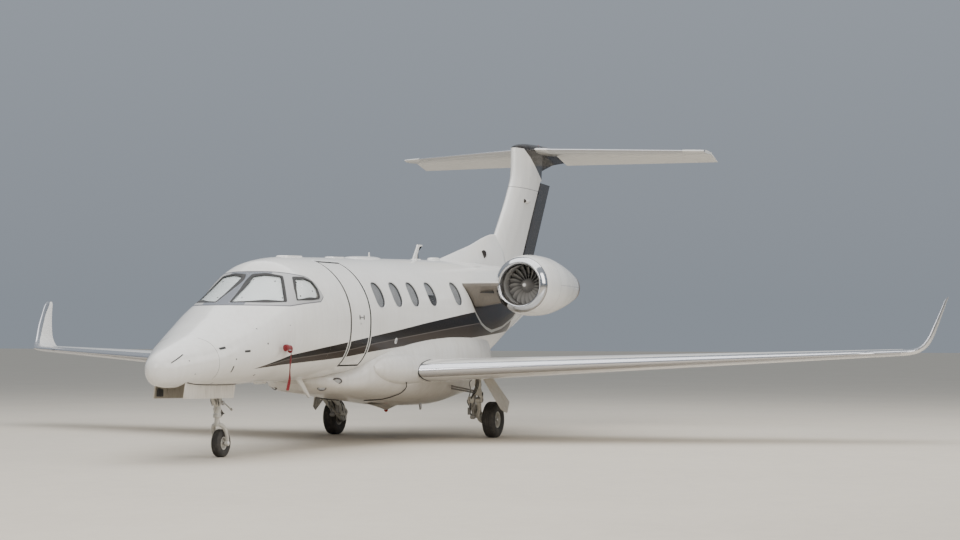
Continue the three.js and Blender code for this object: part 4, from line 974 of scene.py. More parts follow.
stab_slope = (STAB_TIP[0] - STAB_ROOT[0]) / STAB_HALF
stab_paint = edged("tailplane_paint", WHITE, st(STAB_ROOT[0]), stab_slope, 0.085)
lugs = []
for side in (-1, 1):
    for y in ELEVATOR_LUGS:
        _, hinge, radius = stab_at(y)
        ring = tongue(hinge - radius - 0.05, hinge, STAB_Z, 0.011)
        lugs.append(plate(ring, side * y - 0.0055, side * y + 0.0055, 0.001))
build("tailplane_skin", [grid([stab_row(y) for y in np.linspace(-STAB_HALF, STAB_HALF, 61)])] + lugs,
    stab_paint, replaces=["stabilizer"], sharp=45)

CUFF_POINTS = slice(10, 33)                      # of a tailplane section: those round its leading edge
cuffs = []
for side in (-1, 1):
    for spans in ((0.10, 0.34), (2.60, STAB_HALF - 0.001)):
        rows = []
        for k, y in enumerate(np.linspace(*spans, 8)):
            grow = 0.004 if 0 < k < 7 else 0.001
            row = stab_row(side * y)[CUFF_POINTS].copy()
            row[:, 2] = STAB_Z + (row[:, 2] - STAB_Z) * (1 + grow / 0.03)
            row[:, 0] -= grow * (row[:, 0] < row[:, 0].min() + 0.05)
            rows.append(row)
        cuffs.append(grid(rows))
build("tailplane_edge_cuffs", cuffs, white, sharp=45)

for name, side in SIDES:
    rows = []
    for y in np.linspace(*ELEVATOR_SPAN, 16):
        _, x, radius = stab_at(y)
        t = (y - ELEVATOR_SPAN[0]) / (ELEVATOR_SPAN[1] - ELEVATOR_SPAN[0])
        rear = NOSE_TIP + ELEVATOR_REAR[0] + t * (ELEVATOR_REAR[1] - ELEVATOR_REAR[0])
        run = np.linspace(0, 1, 7)[1:]
        drop = math.tan(ELEVATOR_DROOP) * (rear - x) * run
        half = radius + (0.003 - radius) * run
        along, up = nosed(x, radius, 11, x + run * (rear - x), -drop - half, half - drop)
        rows.append(joined(along, side * y, STAB_Z + up))
    tools = []
    for y in ELEVATOR_LUGS:
        hinge = stab_at(y)[1]
        tools.append(box_cutter("notch_cutter", (hinge - 0.2, side * y - 0.010, 4.8),
            (hinge + 0.022, side * y + 0.010, 5.1)))
    build("elevator_skin_" + name, [grid(rows)], white, "elevator_body_" + name, cut=tools,
        replaces=["elevator_" + name])


# The fairing on top of the fin: a glossy dark composite shell in two parts, a short nose and a long
# body, with a red warning light on top and a dark fairing under the tailplane.
CAP = np.array([         # station, half width, top
    [12.56, 0.040, 4.950], [12.8, 0.110, 5.010], [13.3, 0.145, 5.060], [14.31, 0.145, 5.092],
    [14.9, 0.100, 5.060], [15.38, 0.015, 4.965],
])
CAP_FOOT = 4.931
cap_parts = []
for start, end in ((12.56, 13.02), (13.03, 15.38)):
    dense = np.linspace(start, end, 40)
    half, top = (eased(CAP[:, 0], CAP[:, k], dense)[:, None] for k in (1, 2))
    limit = np.where(dense > 14.3, 0.058, 1.0)[:, None]
    half = np.minimum(half, limit)
    angle = np.linspace(0, np.pi, 30)[None]
    cap_parts.append(grid(joined(st(dense)[:, None], half * np.cos(angle), CAP_FOOT + (top - CAP_FOOT)
        * np.sin(angle) ** 0.85)))
build("fin_cap_shell", cap_parts, dark_paint, replaces=["tail_cap"])
UNDER_CAP = [(st(13.901), 4.93), (st(13.901), 4.60), (st(14.1), 4.655), (st(14.6), 4.775), (st(15.25), 4.87),
    (st(15.25), 4.93)]
build("under_tail_shell", [plate(UNDER_CAP, -0.055, 0.055, 0.018)], dark_paint,
    replaces=["tail_under_fairing"])


def lathe(profile, centre, axis="x", count=48, closed=False):
    """A profile of distance along an axis and radius, turned about it; closed joins its two ends."""
    profile = np.asarray(profile, float)
    angle = turns(count)[None]
    along = profile[:, :1]
    a, b = profile[:, 1:] * np.cos(angle), profile[:, 1:] * np.sin(angle)
    order = {"x": (along, a, b), "y": (b, along, a), "z": (a, b, along)}[axis]
    return grid(joined(*order) + np.asarray(centre, float), caps=not closed, loop=closed)


beacon_glass = plain("red_lamp_glass", (0.55, 0.03, 0.02), (0.2, 0.05, 0.04), 0.2, 0.08, 20,
    Transmission_Weight=0.35)
clear_glass = plain("clear_lamp_glass", (0.86, 0.88, 0.9), (0.5, 0.48, 0.44), 0.2, 0.06, 20,
    Transmission_Weight=0.6)
cap_top = float(eased(CAP[:, 0], CAP[:, 2], 13.89))
build("warning_light", [lathe([(0, 0.030), (0.012, 0.031), (0.026, 0.026), (0.032, 0.016), (0.035, 0)],
    (st(13.89), 0, min(cap_top - 0.004, 5.058)), "z", 28)], beacon_glass)


# The engine nacelles: white composite cowls with a polished metal lip, a black seal ring behind the
# lip and a bare metal nozzle. They stand on short pylons beside the rear of the fuselage.
ENGINE_X, ENGINE_Y, ENGINE_Z = st(8.34), 1.64, 2.36
COWL = np.array([[0.106, 0.4325], [0.26, 0.464], [0.52, 0.480], [0.90, 0.470], [1.30, 0.425], [1.75, 0.352],
    [2.10, 0.2812], [2.12, 0.2770]])
NOZZLE = np.array([[2.1215, 0.2765], [2.30, 0.2400], [2.30, 0.2300], [2.12, 0.262]])
LIP = np.array([[0.098, 0.4285], [0.060, 0.4105], [0.030, 0.388], [0.010, 0.366], [0.0, 0.348],
    [0.006, 0.333], [0.020, 0.322], [0.050, 0.309], [0.090, 0.303], [0.140, 0.3035]])
DUCT = np.array([[0.141, 0.304], [0.30, 0.316], [0.45, 0.3315], [0.90, 0.350], [1.20, 0.345], [1.75, 0.297],
    [2.12, 0.249]])
BLADES, BLADE_TIP, BLADE_ROOT, FAN_X = 20, 0.320, 0.095, 0.45
SEAM_HALF, SEAM_DARK = 0.0025, (0.12, 0.11, 0.10)


def thickened(line, wall):
    """A profile and its parallel at a wall's distance inside, as one closed outline."""
    slope = np.gradient(line, axis=0)
    square = joined(slope[:, 1], -slope[:, 0])
    square /= np.linalg.norm(square, axis=1)[:, None]
    return np.concatenate([line, (line + square * wall)[::-1]])


polished = plain("polished_metal", (0.58, 0.58, 0.59), (0.32, 0.30, 0.27), 0.3, 0.06, 3.0, 0.08, metallic=1.0)
black_seal = plain("black_seal", (0.02, 0.02, 0.02), (0.12, 0.11, 0.10), 0.4, 0.65, 6.0, 0.4)
duct_finish, tree, shader = material("duct_lining", (0.55, 0.54, 0.53), 0.45, 0.2)
holes = texture(tree, "Voronoi", {"Scale": 160.0})
weathered(tree, shader,
    layer(tree, put(tree, "MapRange", {"Value": holes, "From Min": 0.15, "From Max": 0.35, "To Min": 0.5,
    "To Max": 0.0}), (0.56, 0.55, 0.53), (0.22, 0.21, 0.20)), DUST, 0.25, 0.4, 4.0, 0.3)
burnt_metal = plain("burnt_nozzle_metal", (0.36, 0.31, 0.27), (0.12, 0.09, 0.08), 0.55, 0.32, 5.0, 0.2,
    metallic=0.9)
engine_grey = plain("engine_grey_metal", (0.16, 0.15, 0.15), (0.07, 0.06, 0.05), 0.4, 0.4, 6.0, 0.2,
    metallic=0.8)
blade_metal, tree, shader = material("fan_blade_metal", (0.60, 0.58, 0.56), 0.35, 0.35)
# Each blade darkens from its front edge to near black at its rear edge: painted shade between the blades.
rear = put(tree, "MapRange", {"Value": axes(tree)[0], "From Min": ENGINE_X + FAN_X - 0.035,
    "From Max": ENGINE_X + FAN_X + 0.03})
weathered(tree, shader, layer(tree, rear, (0.66, 0.64, 0.61), (0.05, 0.047, 0.045)), (0.30, 0.28, 0.26), 0.3,
    0.3, 8.0, 0.1)
spinner_paint, tree, shader = material("spinner_paint", (0.34, 0.33, 0.32), 0.3, 0.3)
tip = put(tree, "MapRange", {"Value": axes(tree)[0], "From Min": ENGINE_X + 0.238, "From Max": ENGINE_X
    + 0.230})
weathered(tree, shader, layer(tree, tip, (0.30, 0.29, 0.28), (0.85, 0.84, 0.80)), DUST, 0.2, 0.3, 8.0, 0.1)

cowl_paint, tree, shader = material("cowl_paint", WHITE, 0.22, Coat_Weight=0.5, Coat_Roughness=0.06)
x, y, z = axes(tree)
# Darker and browner towards the bottom of the cowl: painted shade and ground reflection.
low = put(tree, "MapRange", {"Value": z, "From Min": 2.25, "From Max": 1.85})
colour = layer(tree, sums(tree, "MULTIPLY", low, 0.45), WHITE, (0.58, 0.49, 0.38))
for at in (0.62, 1.52):
    seam = sums(tree, "COMPARE", x, ENGINE_X + at, SEAM_HALF)
    colour = layer(tree, sums(tree, "MULTIPLY", seam, 0.8), colour, SEAM_DARK)
level_seam = all_of(tree, sums(tree, "COMPARE", z, ENGINE_Z, SEAM_HALF),
    sums(tree, "GREATER_THAN", x, ENGINE_X + 0.62))
colour = layer(tree, sums(tree, "MULTIPLY", level_seam, 0.7), colour, SEAM_DARK)
weathered(tree, shader, colour, DUST, 0.22, 0.18, 2.2)


def cowl_radius(x):
    """Outer radius of the nacelle at x."""
    return np.interp(x - ENGINE_X, np.concatenate([[0], COWL[:, 0], [2.3]]),
        np.concatenate([[0.35], COWL[:, 1], [0.24]]))


PYLON = np.array([    # station, top and foot at the fuselage, farthest span, top and foot at the nacelle
    [8.335, 2.395, 2.320, 1.3, 2.410, 2.345], [8.54, 2.405, 1.950, 1.3, 2.418, 2.085],
    [9.0, 2.405, 1.960, 1.3, 2.420, 2.110], [10.2, 2.400, 2.120, 1.3, 2.415, 2.200],
    [11.15, 2.350, 2.290, 0.8, 2.375, 2.330],
])
pylon_paint, tree, shader = material("pylon_paint", WHITE, 0.3, Coat_Weight=0.3)
x, y, z = axes(tree)
# The lower front face is taupe paint made much darker as painted shade; the foot under the pylon is painted
# shade.
front = sums(tree, "LESS_THAN", x, st(8.60))
below = sums(tree, "LESS_THAN", z, 2.385)
colour = layer(tree, all_of(tree, front, below), WHITE, (0.155, 0.135, 0.112))
foot = all_of(tree, sums(tree, "GREATER_THAN", x, st(8.60)), sums(tree, "LESS_THAN", z, 2.2))
colour = layer(tree, foot, colour, (0.15, 0.13, 0.11))
weathered(tree, shader, colour, DUST, 0.25, 0.28, 3.0)

for name, side in SIDES:
    centre = (ENGINE_X, side * ENGINE_Y, ENGINE_Z)
    build("cowl_" + name, [lathe(thickened(curved(COWL, 60), 0.012), centre, count=96, closed=True)],
        cowl_paint, replaces=["nacelle_" + name])
    build("inlet_lip_" + name, [lathe(curved(LIP, 40), centre, count=128, closed=True)], polished,
        replaces=["nacelle_" + name], sharp=60)
    build("lip_seal_" + name, [lathe([(0.0975, 0.4282), (0.1065, 0.4328), (0.1065, 0.418), (0.0975, 0.414)],
        centre, count=96, closed=True)], black_seal)
    build("duct_" + name, [lathe(thickened(curved(DUCT, 50), -0.006), centre, count=96, closed=True)],
        duct_finish, replaces=["nacelle_" + name])
    build("nozzle_" + name, [lathe(NOZZLE, centre, count=96, closed=True)], burnt_metal,
        replaces=["nacelle_" + name])

    # The engine behind the fan: straightening vanes, a casing, and the lobed mixer with its plug.
    casing = curved([(0.53, 0.0), (0.54, 0.05), (0.59, 0.06), (0.62, 0.12), (0.66, 0.13), (0.75, 0.15),
        (0.90, 0.25), (1.3, 0.25), (1.9, 0.15), (2.0, 0.05), (2.02, 0.0)], 70)
    vane_parts = [lathe(casing, centre, count=64)]
    for k in range(28):
        turn = 2 * np.pi * k / 28
        radius = np.linspace(0.12, 0.342, 6)[:, None]
        ring = np.array([(0.66, 0.0), (0.69, 0.006), (0.74, 0.010), (0.74, 0.006), (0.69, -0.002)])
        local = joined(ring[:, 0], ring[:, 1], radius)
        vane_parts.append(grid(joined(centre[0] + local[..., 0], centre[1] + local[..., 1] * math.cos(turn)
            - local[..., 2] * math.sin(turn), centre[2] + local[..., 1] * math.sin(turn) + local[..., 2]
            * math.cos(turn))))
    build("engine_core_" + name, vane_parts, engine_grey, replaces=["engine_" + name])
    along = np.linspace(1.88, 2.26, 16)[:, None]
    theta = turns(144)[None]
    swing = 0.036 * ((along - 1.88) / 0.38) ** 1.5 * np.cos(12 * theta)
    outer = 0.152 + 0.008 * (along - 1.88) / 0.38 + swing
    lobes = [joined(centre[0] + along, centre[1] + (outer - w) * np.cos(theta), centre[2] + (outer - w)
        * np.sin(theta)) for w in (0, 0.003)]
    plug = curved([(1.95, 0.0), (1.96, 0.09), (2.10, 0.095), (2.30, 0.06), (2.42, 0.012), (2.435, 0.0)], 30)
    build("exhaust_mixer_" + name, [grid(np.concatenate([lobes[0], lobes[1][::-1]]), loop=True),
        lathe(plug, centre, count=48)], burnt_metal, replaces=["engine_" + name])

    # The fan: wide curved titanium blades, twisted from root to tip, on a hub with a pointed spinner.
    share = np.linspace(0, 1, 12)[:, None]
    radius = BLADE_ROOT + (BLADE_TIP - BLADE_ROOT) * share
    pitch = np.radians(24 + 32 * share)
    half_chord = 0.058 - 0.016 * share + 0.010 * np.sin(np.pi * share)
    theta = turns(16)[None]
    run, rise = half_chord * np.cos(theta), 0.0045 * (1.15
        - share) * np.sin(theta) + 0.006 * np.cos(theta) ** 2
    lean = 0.10 * share ** 2 - 0.05 * share
    ahead = FAN_X + np.cos(pitch) * run - np.sin(pitch) * rise - 0.02 * np.sin(np.pi * share)
    aside = np.sin(pitch) * run + np.cos(pitch) * rise + lean * radius * 2
    blades = []
    for k in range(BLADES):
        turn = 2 * np.pi * k / BLADES
        up = np.sqrt(np.maximum(radius ** 2 - aside ** 2, 1e-6))
        blades.append(grid(joined(centre[0] + ahead, centre[1] + aside * math.cos(turn) - up * math.sin(turn),
            centre[2] + aside * math.sin(turn) + up * math.cos(turn))))
    build("fan_blades_" + name, blades, blade_metal, "fan_body_" + name, replaces=["fan_" + name],
        sharp=60)
    spinner = curved([(0.22, 0.0), (0.224, 0.016), (0.24, 0.034), (0.31, 0.074), (0.41, 0.102),
        (0.52, 0.110)], 30)
    spinner = np.concatenate([spinner, [(0.525, 0.08), (0.525, 0.0)]])
    build("spinner_" + name, [lathe(spinner, centre, count=64)], spinner_paint, "fan_body_" + name,
        replaces=["fan_" + name])

    stations = PYLON[0, 0] + (PYLON[-1, 0] - PYLON[0, 0]) * np.linspace(0, 1, 60) ** 1.7
    root_top, root_foot, limit, tip_top, tip_foot = (np.interp(stations, PYLON[:, 0], PYLON[:, k])
        for k in range(1, 6))
    rows = []
    for k, station in enumerate(stations):
        x = st(station)
        radius = cowl_radius(x)
        ends = [min(limit[k], ENGINE_Y - math.sqrt(max(radius ** 2 - (z - ENGINE_Z) ** 2, 0.0)) + 0.012)
            for z in (tip_top[k], tip_foot[k])]
        t = np.linspace(0, 1, 10)
        high = joined(0.40 + (ends[0] - 0.40) * t, root_top[k] + (tip_top[k] - root_top[k]) * t)
        deep = joined(0.40 + (ends[1] - 0.40) * t, root_foot[k] + (tip_foot[k] - root_foot[k]) * t)
        ring = np.concatenate([high, deep[::-1]])
        rows.append(joined(x, side * ring[:, 0], ring[:, 1]))
    build("pylon_skin_" + name, [grid(rows)], pylon_paint, replaces=["pylon_" + name],
        bevel=0.012)
    slot_line = rounded([(0.98, 2.245), (1.20, 2.262), (1.20, 2.226), (0.98, 2.238)], 0.008)
    lean_back = lambda z: np.interp(z, [1.95, 2.32], [st(8.535), st(8.33)])
    slots = np.array([joined(lean_back(slot_line[:, 1]) + shift, side * slot_line[:, 0], slot_line[:, 1])
        for shift in (-0.006, 0.03)])
    build("pylon_intake_" + name, [grid(slots)], black_seal)


# The nose gear: a white-painted strut with a chromed piston, a cast fork that arches over one small
# tyre, folding torque links, and a drag brace up into the bay. Forged and machined aluminium and steel.
def tube(path, radius, sides=16, flat=1.0, wide=(0, 1, 0)):
    """A ring carried along a path, square to it: the radius may change along the way, and flat squashes
    the ring across the wide direction."""
    path = np.asarray(path, float)
    radius = np.broadcast_to(np.asarray(radius, float), (len(path),))[:, None, None]
    along = np.gradient(path, axis=0)
    along /= np.linalg.norm(along, axis=1)[:, None]
    first = np.asarray(wide, float) - along * (along @ np.asarray(wide, float))[:, None]
    first /= np.linalg.norm(first, axis=1)[:, None]
    second = np.cross(along, first)
    angle = turns(sides)[None, :, None]
    return grid(path[:, None] + radius * (np.cos(angle) * first[:, None] + flat * np.sin(angle)
        * second[:, None]))


def rod(start, end, radius, sides=20, chamfer=0.0015):
    """A straight round bar between two points, with its ends broken."""
    start, end = np.asarray(start, float), np.asarray(end, float)
    way = (end - start) / np.linalg.norm(end - start)
    wide = (0, 1, 0) if abs(way[1]) < 0.9 else (1, 0, 0)
    path = [start, start + way * chamfer, end - way * chamfer, end]
    return tube(path, np.array([radius - chamfer, radius, radius, radius - chamfer]), sides, wide=wide)


def bolts(centre, axis, ring, count, size=0.006, long=0.008):
    """Bolt heads on a circle round an axis along y or z: short six-sided bars."""
    made = []
    for turn in np.arange(count) * 2 * np.pi / count:
        off = {"y": (ring * math.cos(turn), 0, ring * math.sin(turn)),
            "z": (ring * math.cos(turn), ring * math.sin(turn), 0)}[axis]
        start = np.add(centre, off)
        made.append(rod(start, start + {"y": (0, long, 0), "z": (0, 0, long)}[axis], size, 6, 0.0008))
    return made


def tyre(centre, radius, half, rim, grooves):
    """A tyre turned about y: round shoulders, a flat tread with straight grooves, and beads at the rim."""
    outline = [(-0.55 * half, rim + 0.002), (-0.74 * half, rim + 0.006),
        (-0.95 * half, rim + 0.30 * (radius - rim)), (-1.0 * half, rim + 0.52 * (radius - rim)),
        (-0.93 * half, rim + 0.76 * (radius - rim)), (-0.76 * half, rim + 0.93 * (radius - rim)),
        (-0.55 * half, radius - 0.0015)]
    tread = []
    for at in grooves:
        tread += [(at * half - 0.0045, radius - 0.0005), (at * half - 0.003, radius - 0.007),
            (at * half + 0.003, radius - 0.007), (at * half + 0.0045, radius - 0.0005)]
    mirrored = [(-a, r) for a, r in outline[::-1]]
    return lathe(outline + tread + mirrored + [(0, rim + 0.004)], centre, "y", 96, closed=True)


def wheel(centre, rim, half, bore, outward):
    """A wheel rim turned about y with a dished web set towards its outer side, and bead flanges."""
    s = outward
    ring = [(-s * half, rim - 0.012), (-s * half, rim + 0.012), (-s * half * 0.92, rim + 0.013),
        (-s * half * 0.88, rim), (s * half * 0.88, rim), (s * half * 0.92, rim + 0.013),
        (s * half, rim + 0.012), (s * half, rim - 0.010), (s * half * 0.7, rim - 0.014),
        (-s * half * 0.7, rim - 0.014)]
    web = [(s * half * 0.30, rim - 0.010), (s * half * 0.42, rim * 0.62), (s * half * 0.62, rim * 0.42),
        (s * half * 0.66, bore), (s * half * 0.30, bore), (s * half * 0.26, rim * 0.42),
        (s * half * 0.16, rim * 0.62), (s * half * 0.08, rim - 0.010)]
    return [lathe(ring, centre, "y", 72, closed=True), lathe(web, centre, "y", 72, closed=True)]


def web_holes(centre, ring, size, count, half):
    """Oval holes round a wheel's web, as one cutting block."""
    parts = []
    for turn in (np.arange(count) + 0.5) * 2 * np.pi / count:
        theta = turns(16)
        along, out = size * 0.62 * np.cos(theta), size * np.sin(theta)
        x = (ring + out) * math.cos(turn) - along * math.sin(turn)
        z = (ring + out) * math.sin(turn) + along * math.cos(turn)
        parts.append(grid([joined(centre[0] + x, centre[1] + y, centre[2] + z) for y in (-half, half)]))
    return build("hole_cutter", parts, white, body=None)


tyre_rubber, tree, shader = material("tyre_rubber", (0.022, 0.021, 0.021), 0.75)
scuff = put(tree, "MapRange", {"Value": texture(tree, "Noise", {"Scale": 30.0, "Detail": 6.0}),
    "From Min": 0.45, "From Max": 0.75, "To Max": 0.5})
weathered(tree, shader, layer(tree, scuff, (0.020, 0.019, 0.019), (0.075, 0.068, 0.060)), (0.16, 0.14, 0.11),
    0.35, 0.7, 5.0, 0.6)
gear_paint = plain("gear_paint", (0.62, 0.60, 0.54), (0.22, 0.18, 0.13), 0.5, 0.32, 9.0, 0.3, Coat_Weight=0.2)
gear_shade = plain("gear_grey_paint", (0.30, 0.29, 0.27), (0.10, 0.08, 0.06), 0.55, 0.4, 10.0, 0.3,
    metallic=0.3)
chrome = plain("chromed_piston", (0.85, 0.85, 0.86), (0.4, 0.38, 0.34), 0.2, 0.07, 9.0, 0.05, metallic=1.0)
wheel_paint = plain("wheel_paint", (0.66, 0.64, 0.58), (0.14, 0.11, 0.08), 0.55, 0.35, 12.0, 0.2,
    metallic=0.1)
steel = plain("bright_steel", (0.55, 0.54, 0.52), (0.2, 0.17, 0.14), 0.4, 0.25, 12.0, 0.1, metallic=1.0)
hose_rubber = plain("hose_rubber", (0.03, 0.03, 0.032), (0.12, 0.10, 0.08), 0.3, 0.5, 12.0, 0.2)

NOSE_RADIUS, NOSE_RIM = 0.178, 0.078
NOSE_AXLE = (st(1.76), 0.0, NOSE_RADIUS)
PIVOT_X = st(1.655)
build("nose_tyre_rubber", [tyre(NOSE_AXLE, NOSE_RADIUS, 0.061, NOSE_RIM, (-0.36, 0.0, 0.36))], tyre_rubber,
    "nose_wheel_body", replaces=["nose_tyre"], sharp=50)
tool = web_holes(NOSE_AXLE, 0.052, 0.0135, 8, 0.04)
parts = wheel(NOSE_AXLE, NOSE_RIM, 0.042, 0.019, -1)
build("nose_wheel_casting", parts, wheel_paint, "nose_wheel_body", replaces=["nose_wheel"],
    cut=[tool])

FORK_PATH = [(0.105, -0.092, NOSE_RADIUS), (0.100, -0.094, 0.235), (0.078, -0.092, 0.305),
    (0.048, -0.078, 0.372), (0.020, -0.045, 0.412), (0.010, 0.0, 0.422)]
half_path = curved([(PIVOT_X + x, y, z) for x, y, z in FORK_PATH], 20)
other = half_path[::-1][1:] * (1, -1, 1)
full_path = np.concatenate([half_path, other])
girth = 0.0205 + 0.007 * np.sin(np.linspace(0, np.pi, len(full_path))) ** 2
fork_parts = [tube(full_path, girth, 20, 1.15, (0, 0, 1))]
for side in (-1, 1):
    fork_parts.append(rod((NOSE_AXLE[0], side * 0.068, NOSE_RADIUS),
        (NOSE_AXLE[0], side * 0.108, NOSE_RADIUS), 0.034, 28))
fork_parts.append(lathe([(0.39, 0.0), (0.395, 0.030), (0.43, 0.034), (0.50, 0.031), (0.503, 0.047),
    (0.512, 0.050), (0.545, 0.050), (0.556, 0.046), (0.558, 0.0)], (PIVOT_X, 0, 0), "z", 40))
build("nose_fork_casting", fork_parts, gear_paint, "nose_steering_fork", replaces=["nose_fork"])
axle = [rod((NOSE_AXLE[0], -0.118, NOSE_RADIUS), (NOSE_AXLE[0], 0.118, NOSE_RADIUS), 0.0175, 24)]
axle += [rod((PIVOT_X, 0, 0.50), (PIVOT_X, 0, 0.69), 0.029, 32)]
for side in (-1, 1):
    axle.append(rod((NOSE_AXLE[0], side * 0.108, NOSE_RADIUS), (NOSE_AXLE[0], side * 0.114, NOSE_RADIUS),
        0.026, 6))
build("nose_axle_and_piston", axle, chrome, "nose_steering_fork", replaces=["nose_fork"])

leg = [lathe([(0.56, 0.0), (0.561, 0.040), (0.565, 0.044), (0.60, 0.044), (0.603, 0.052), (0.625, 0.052),
    (0.628, 0.044), (0.70, 0.044), (0.703, 0.058), (0.76, 0.058), (0.763, 0.044), (1.176, 0.044),
    (1.1795, 0.040), (1.1795, 0.0)], (PIVOT_X, 0, 0), "z", 40),
    rod((PIVOT_X, -0.17, 1.15), (PIVOT_X, 0.17, 1.15), 0.026)]
leg += [rod((PIVOT_X - 0.02, 0, 0.64), (st(1.10), 0, 1.15), 0.02), rod((PIVOT_X - 0.03, -0.05, 0.72),
    (PIVOT_X - 0.03, 0.05, 0.72), 0.022)]
leg += [rod((PIVOT_X - 0.052, s * 0.035, 0.66), (PIVOT_X - 0.052, s * 0.035, 0.74), 0.016) for s in (-1, 1)]
build("nose_strut_casting", leg, gear_paint, replaces=["nose_leg"])
hardware = [rod((PIVOT_X + 0.02, s * 0.062, 0.69), (PIVOT_X + 0.02, s * 0.082, 0.69), 0.03, 28)
    for s in (-1, 1)]
hardware += bolts((PIVOT_X, 0, 0.765), "z", 0.050, 8, 0.005)
hardware += [rod((PIVOT_X + 0.03, -0.07, 0.70), (PIVOT_X + 0.25, -0.07, 0.60), 0.008),
    rod((PIVOT_X + 0.235, -0.07, 0.607), (PIVOT_X + 0.262, -0.07, 0.595), 0.015)]
build("nose_steering_motor", hardware, steel)
hoses = []
for s, bow in ((-1, 0.03), (1, 0.02)):
    points = [(PIVOT_X - 0.045, s * 0.04, 0.90), (PIVOT_X - 0.055 - bow, s * 0.05, 0.80),
        (PIVOT_X - 0.045 - bow, s * 0.055, 0.72), (PIVOT_X - 0.042, s * 0.048, 0.655)]
    hoses.append(tube(curved(points, 16), 0.006, 10))
build("nose_gear_hoses", hoses, hose_rubber)
torque = []
for s in (-1, 1):
    knee = (PIVOT_X + 0.150, s * 0.006, 0.555)
    torque.append(tube([(PIVOT_X + 0.045, s * 0.026, 0.612), knee], (0.011, 0.009), 12, 0.7))
lower_link = [tube([(PIVOT_X + 0.045, s * 0.026, 0.515), (PIVOT_X + 0.150, s * 0.006, 0.550)], (0.011, 0.009),
    12, 0.7) for s in (-1, 1)]
build("nose_torque_link_upper", torque + [rod((PIVOT_X + 0.15, -0.022, 0.553), (PIVOT_X + 0.15, 0.022, 0.553),
    0.010)], gear_shade, "nose_steering_fork")
build("nose_torque_link_lower", lower_link, gear_shade, "nose_steering_fork")

# The nose gear doors: curved honeycomb panels hinged along the bay, white outside and primed dark
# inside; a taxi light shows on the inner face of the starboard one.
door_inner = plain("door_paint", (0.66, 0.62, 0.55), (0.26, 0.21, 0.15), 0.4, 0.32, 4.0, 0.2)
bay_paint = plain("bay_dark_paint", (0.10, 0.085, 0.07), (0.04, 0.03, 0.02), 0.5, 0.5, 6.0, 0.3)
door_lining = plain("door_lining_paint", (0.36, 0.33, 0.27), (0.14, 0.11, 0.08), 0.4, 0.45, 5.0, 0.2)
PANEL = rounded([(st(0.48), 1.000), (st(1.75), 0.960), (st(1.69), 0.752), (st(0.42), 0.772)], 0.02)
for name, side in SIDES:
    y = side * 0.2087
    build("nose_door_panel_" + name, [plate(PANEL, y - 0.006, y + 0.006, 0.003)], door_inner,
        replaces=["nose_gear_door_" + name])
    gap = onto(np.array([(st(x), side * 0.2185, 0.5) for x in np.linspace(0.50, 1.73, 30)]), (0, 0, 1),
        reach=0.7)
    build("nose_door_gap_line_" + name, [tube_line(gap, 0.0075)], black_seal)
    inside = y - side * 0.0065
    inner = drawn_in(PANEL, 0.022)
    lining = [plate(inner, min(inside, inside - side * 0.004), max(inside, inside - side * 0.004), 0.0015)]
    for x in (st(0.75), st(1.2), st(1.6)):
        lining.append(rod((x, y - side * 0.010, 0.80), (x, y - side * 0.022, 0.93), 0.008))
        lining.append(rod((x, y - side * 0.022, 0.93), (x, side * 0.12, 1.02), 0.008))
    build("nose_door_lining_" + name, lining, door_lining)
build("taxi_lamp_case",
    [plate(rounded([(st(0.49), 0.795), (st(0.60), 0.795), (st(0.60), 0.885), (st(0.49), 0.885)], 0.008),
    0.165, 0.2, 0.004)], black_seal)
bay = grid([np.array([[st(0.475), y, z], [st(1.755), y, z], [st(1.755), y, z + 0.004],
    [st(0.475), y, z + 0.004]]) for y, z in ((-0.214, 1.173), (0.214, 1.173))])
ribs = [plate([(st(at), 1.06), (st(at) + 0.012, 1.06), (st(at) + 0.012, 1.172), (st(at), 1.172)], -0.212,
    0.212) for at in (0.62, 0.85, 1.05, 1.30)]
build("nose_bay_lining", [bay] + ribs, bay_paint)

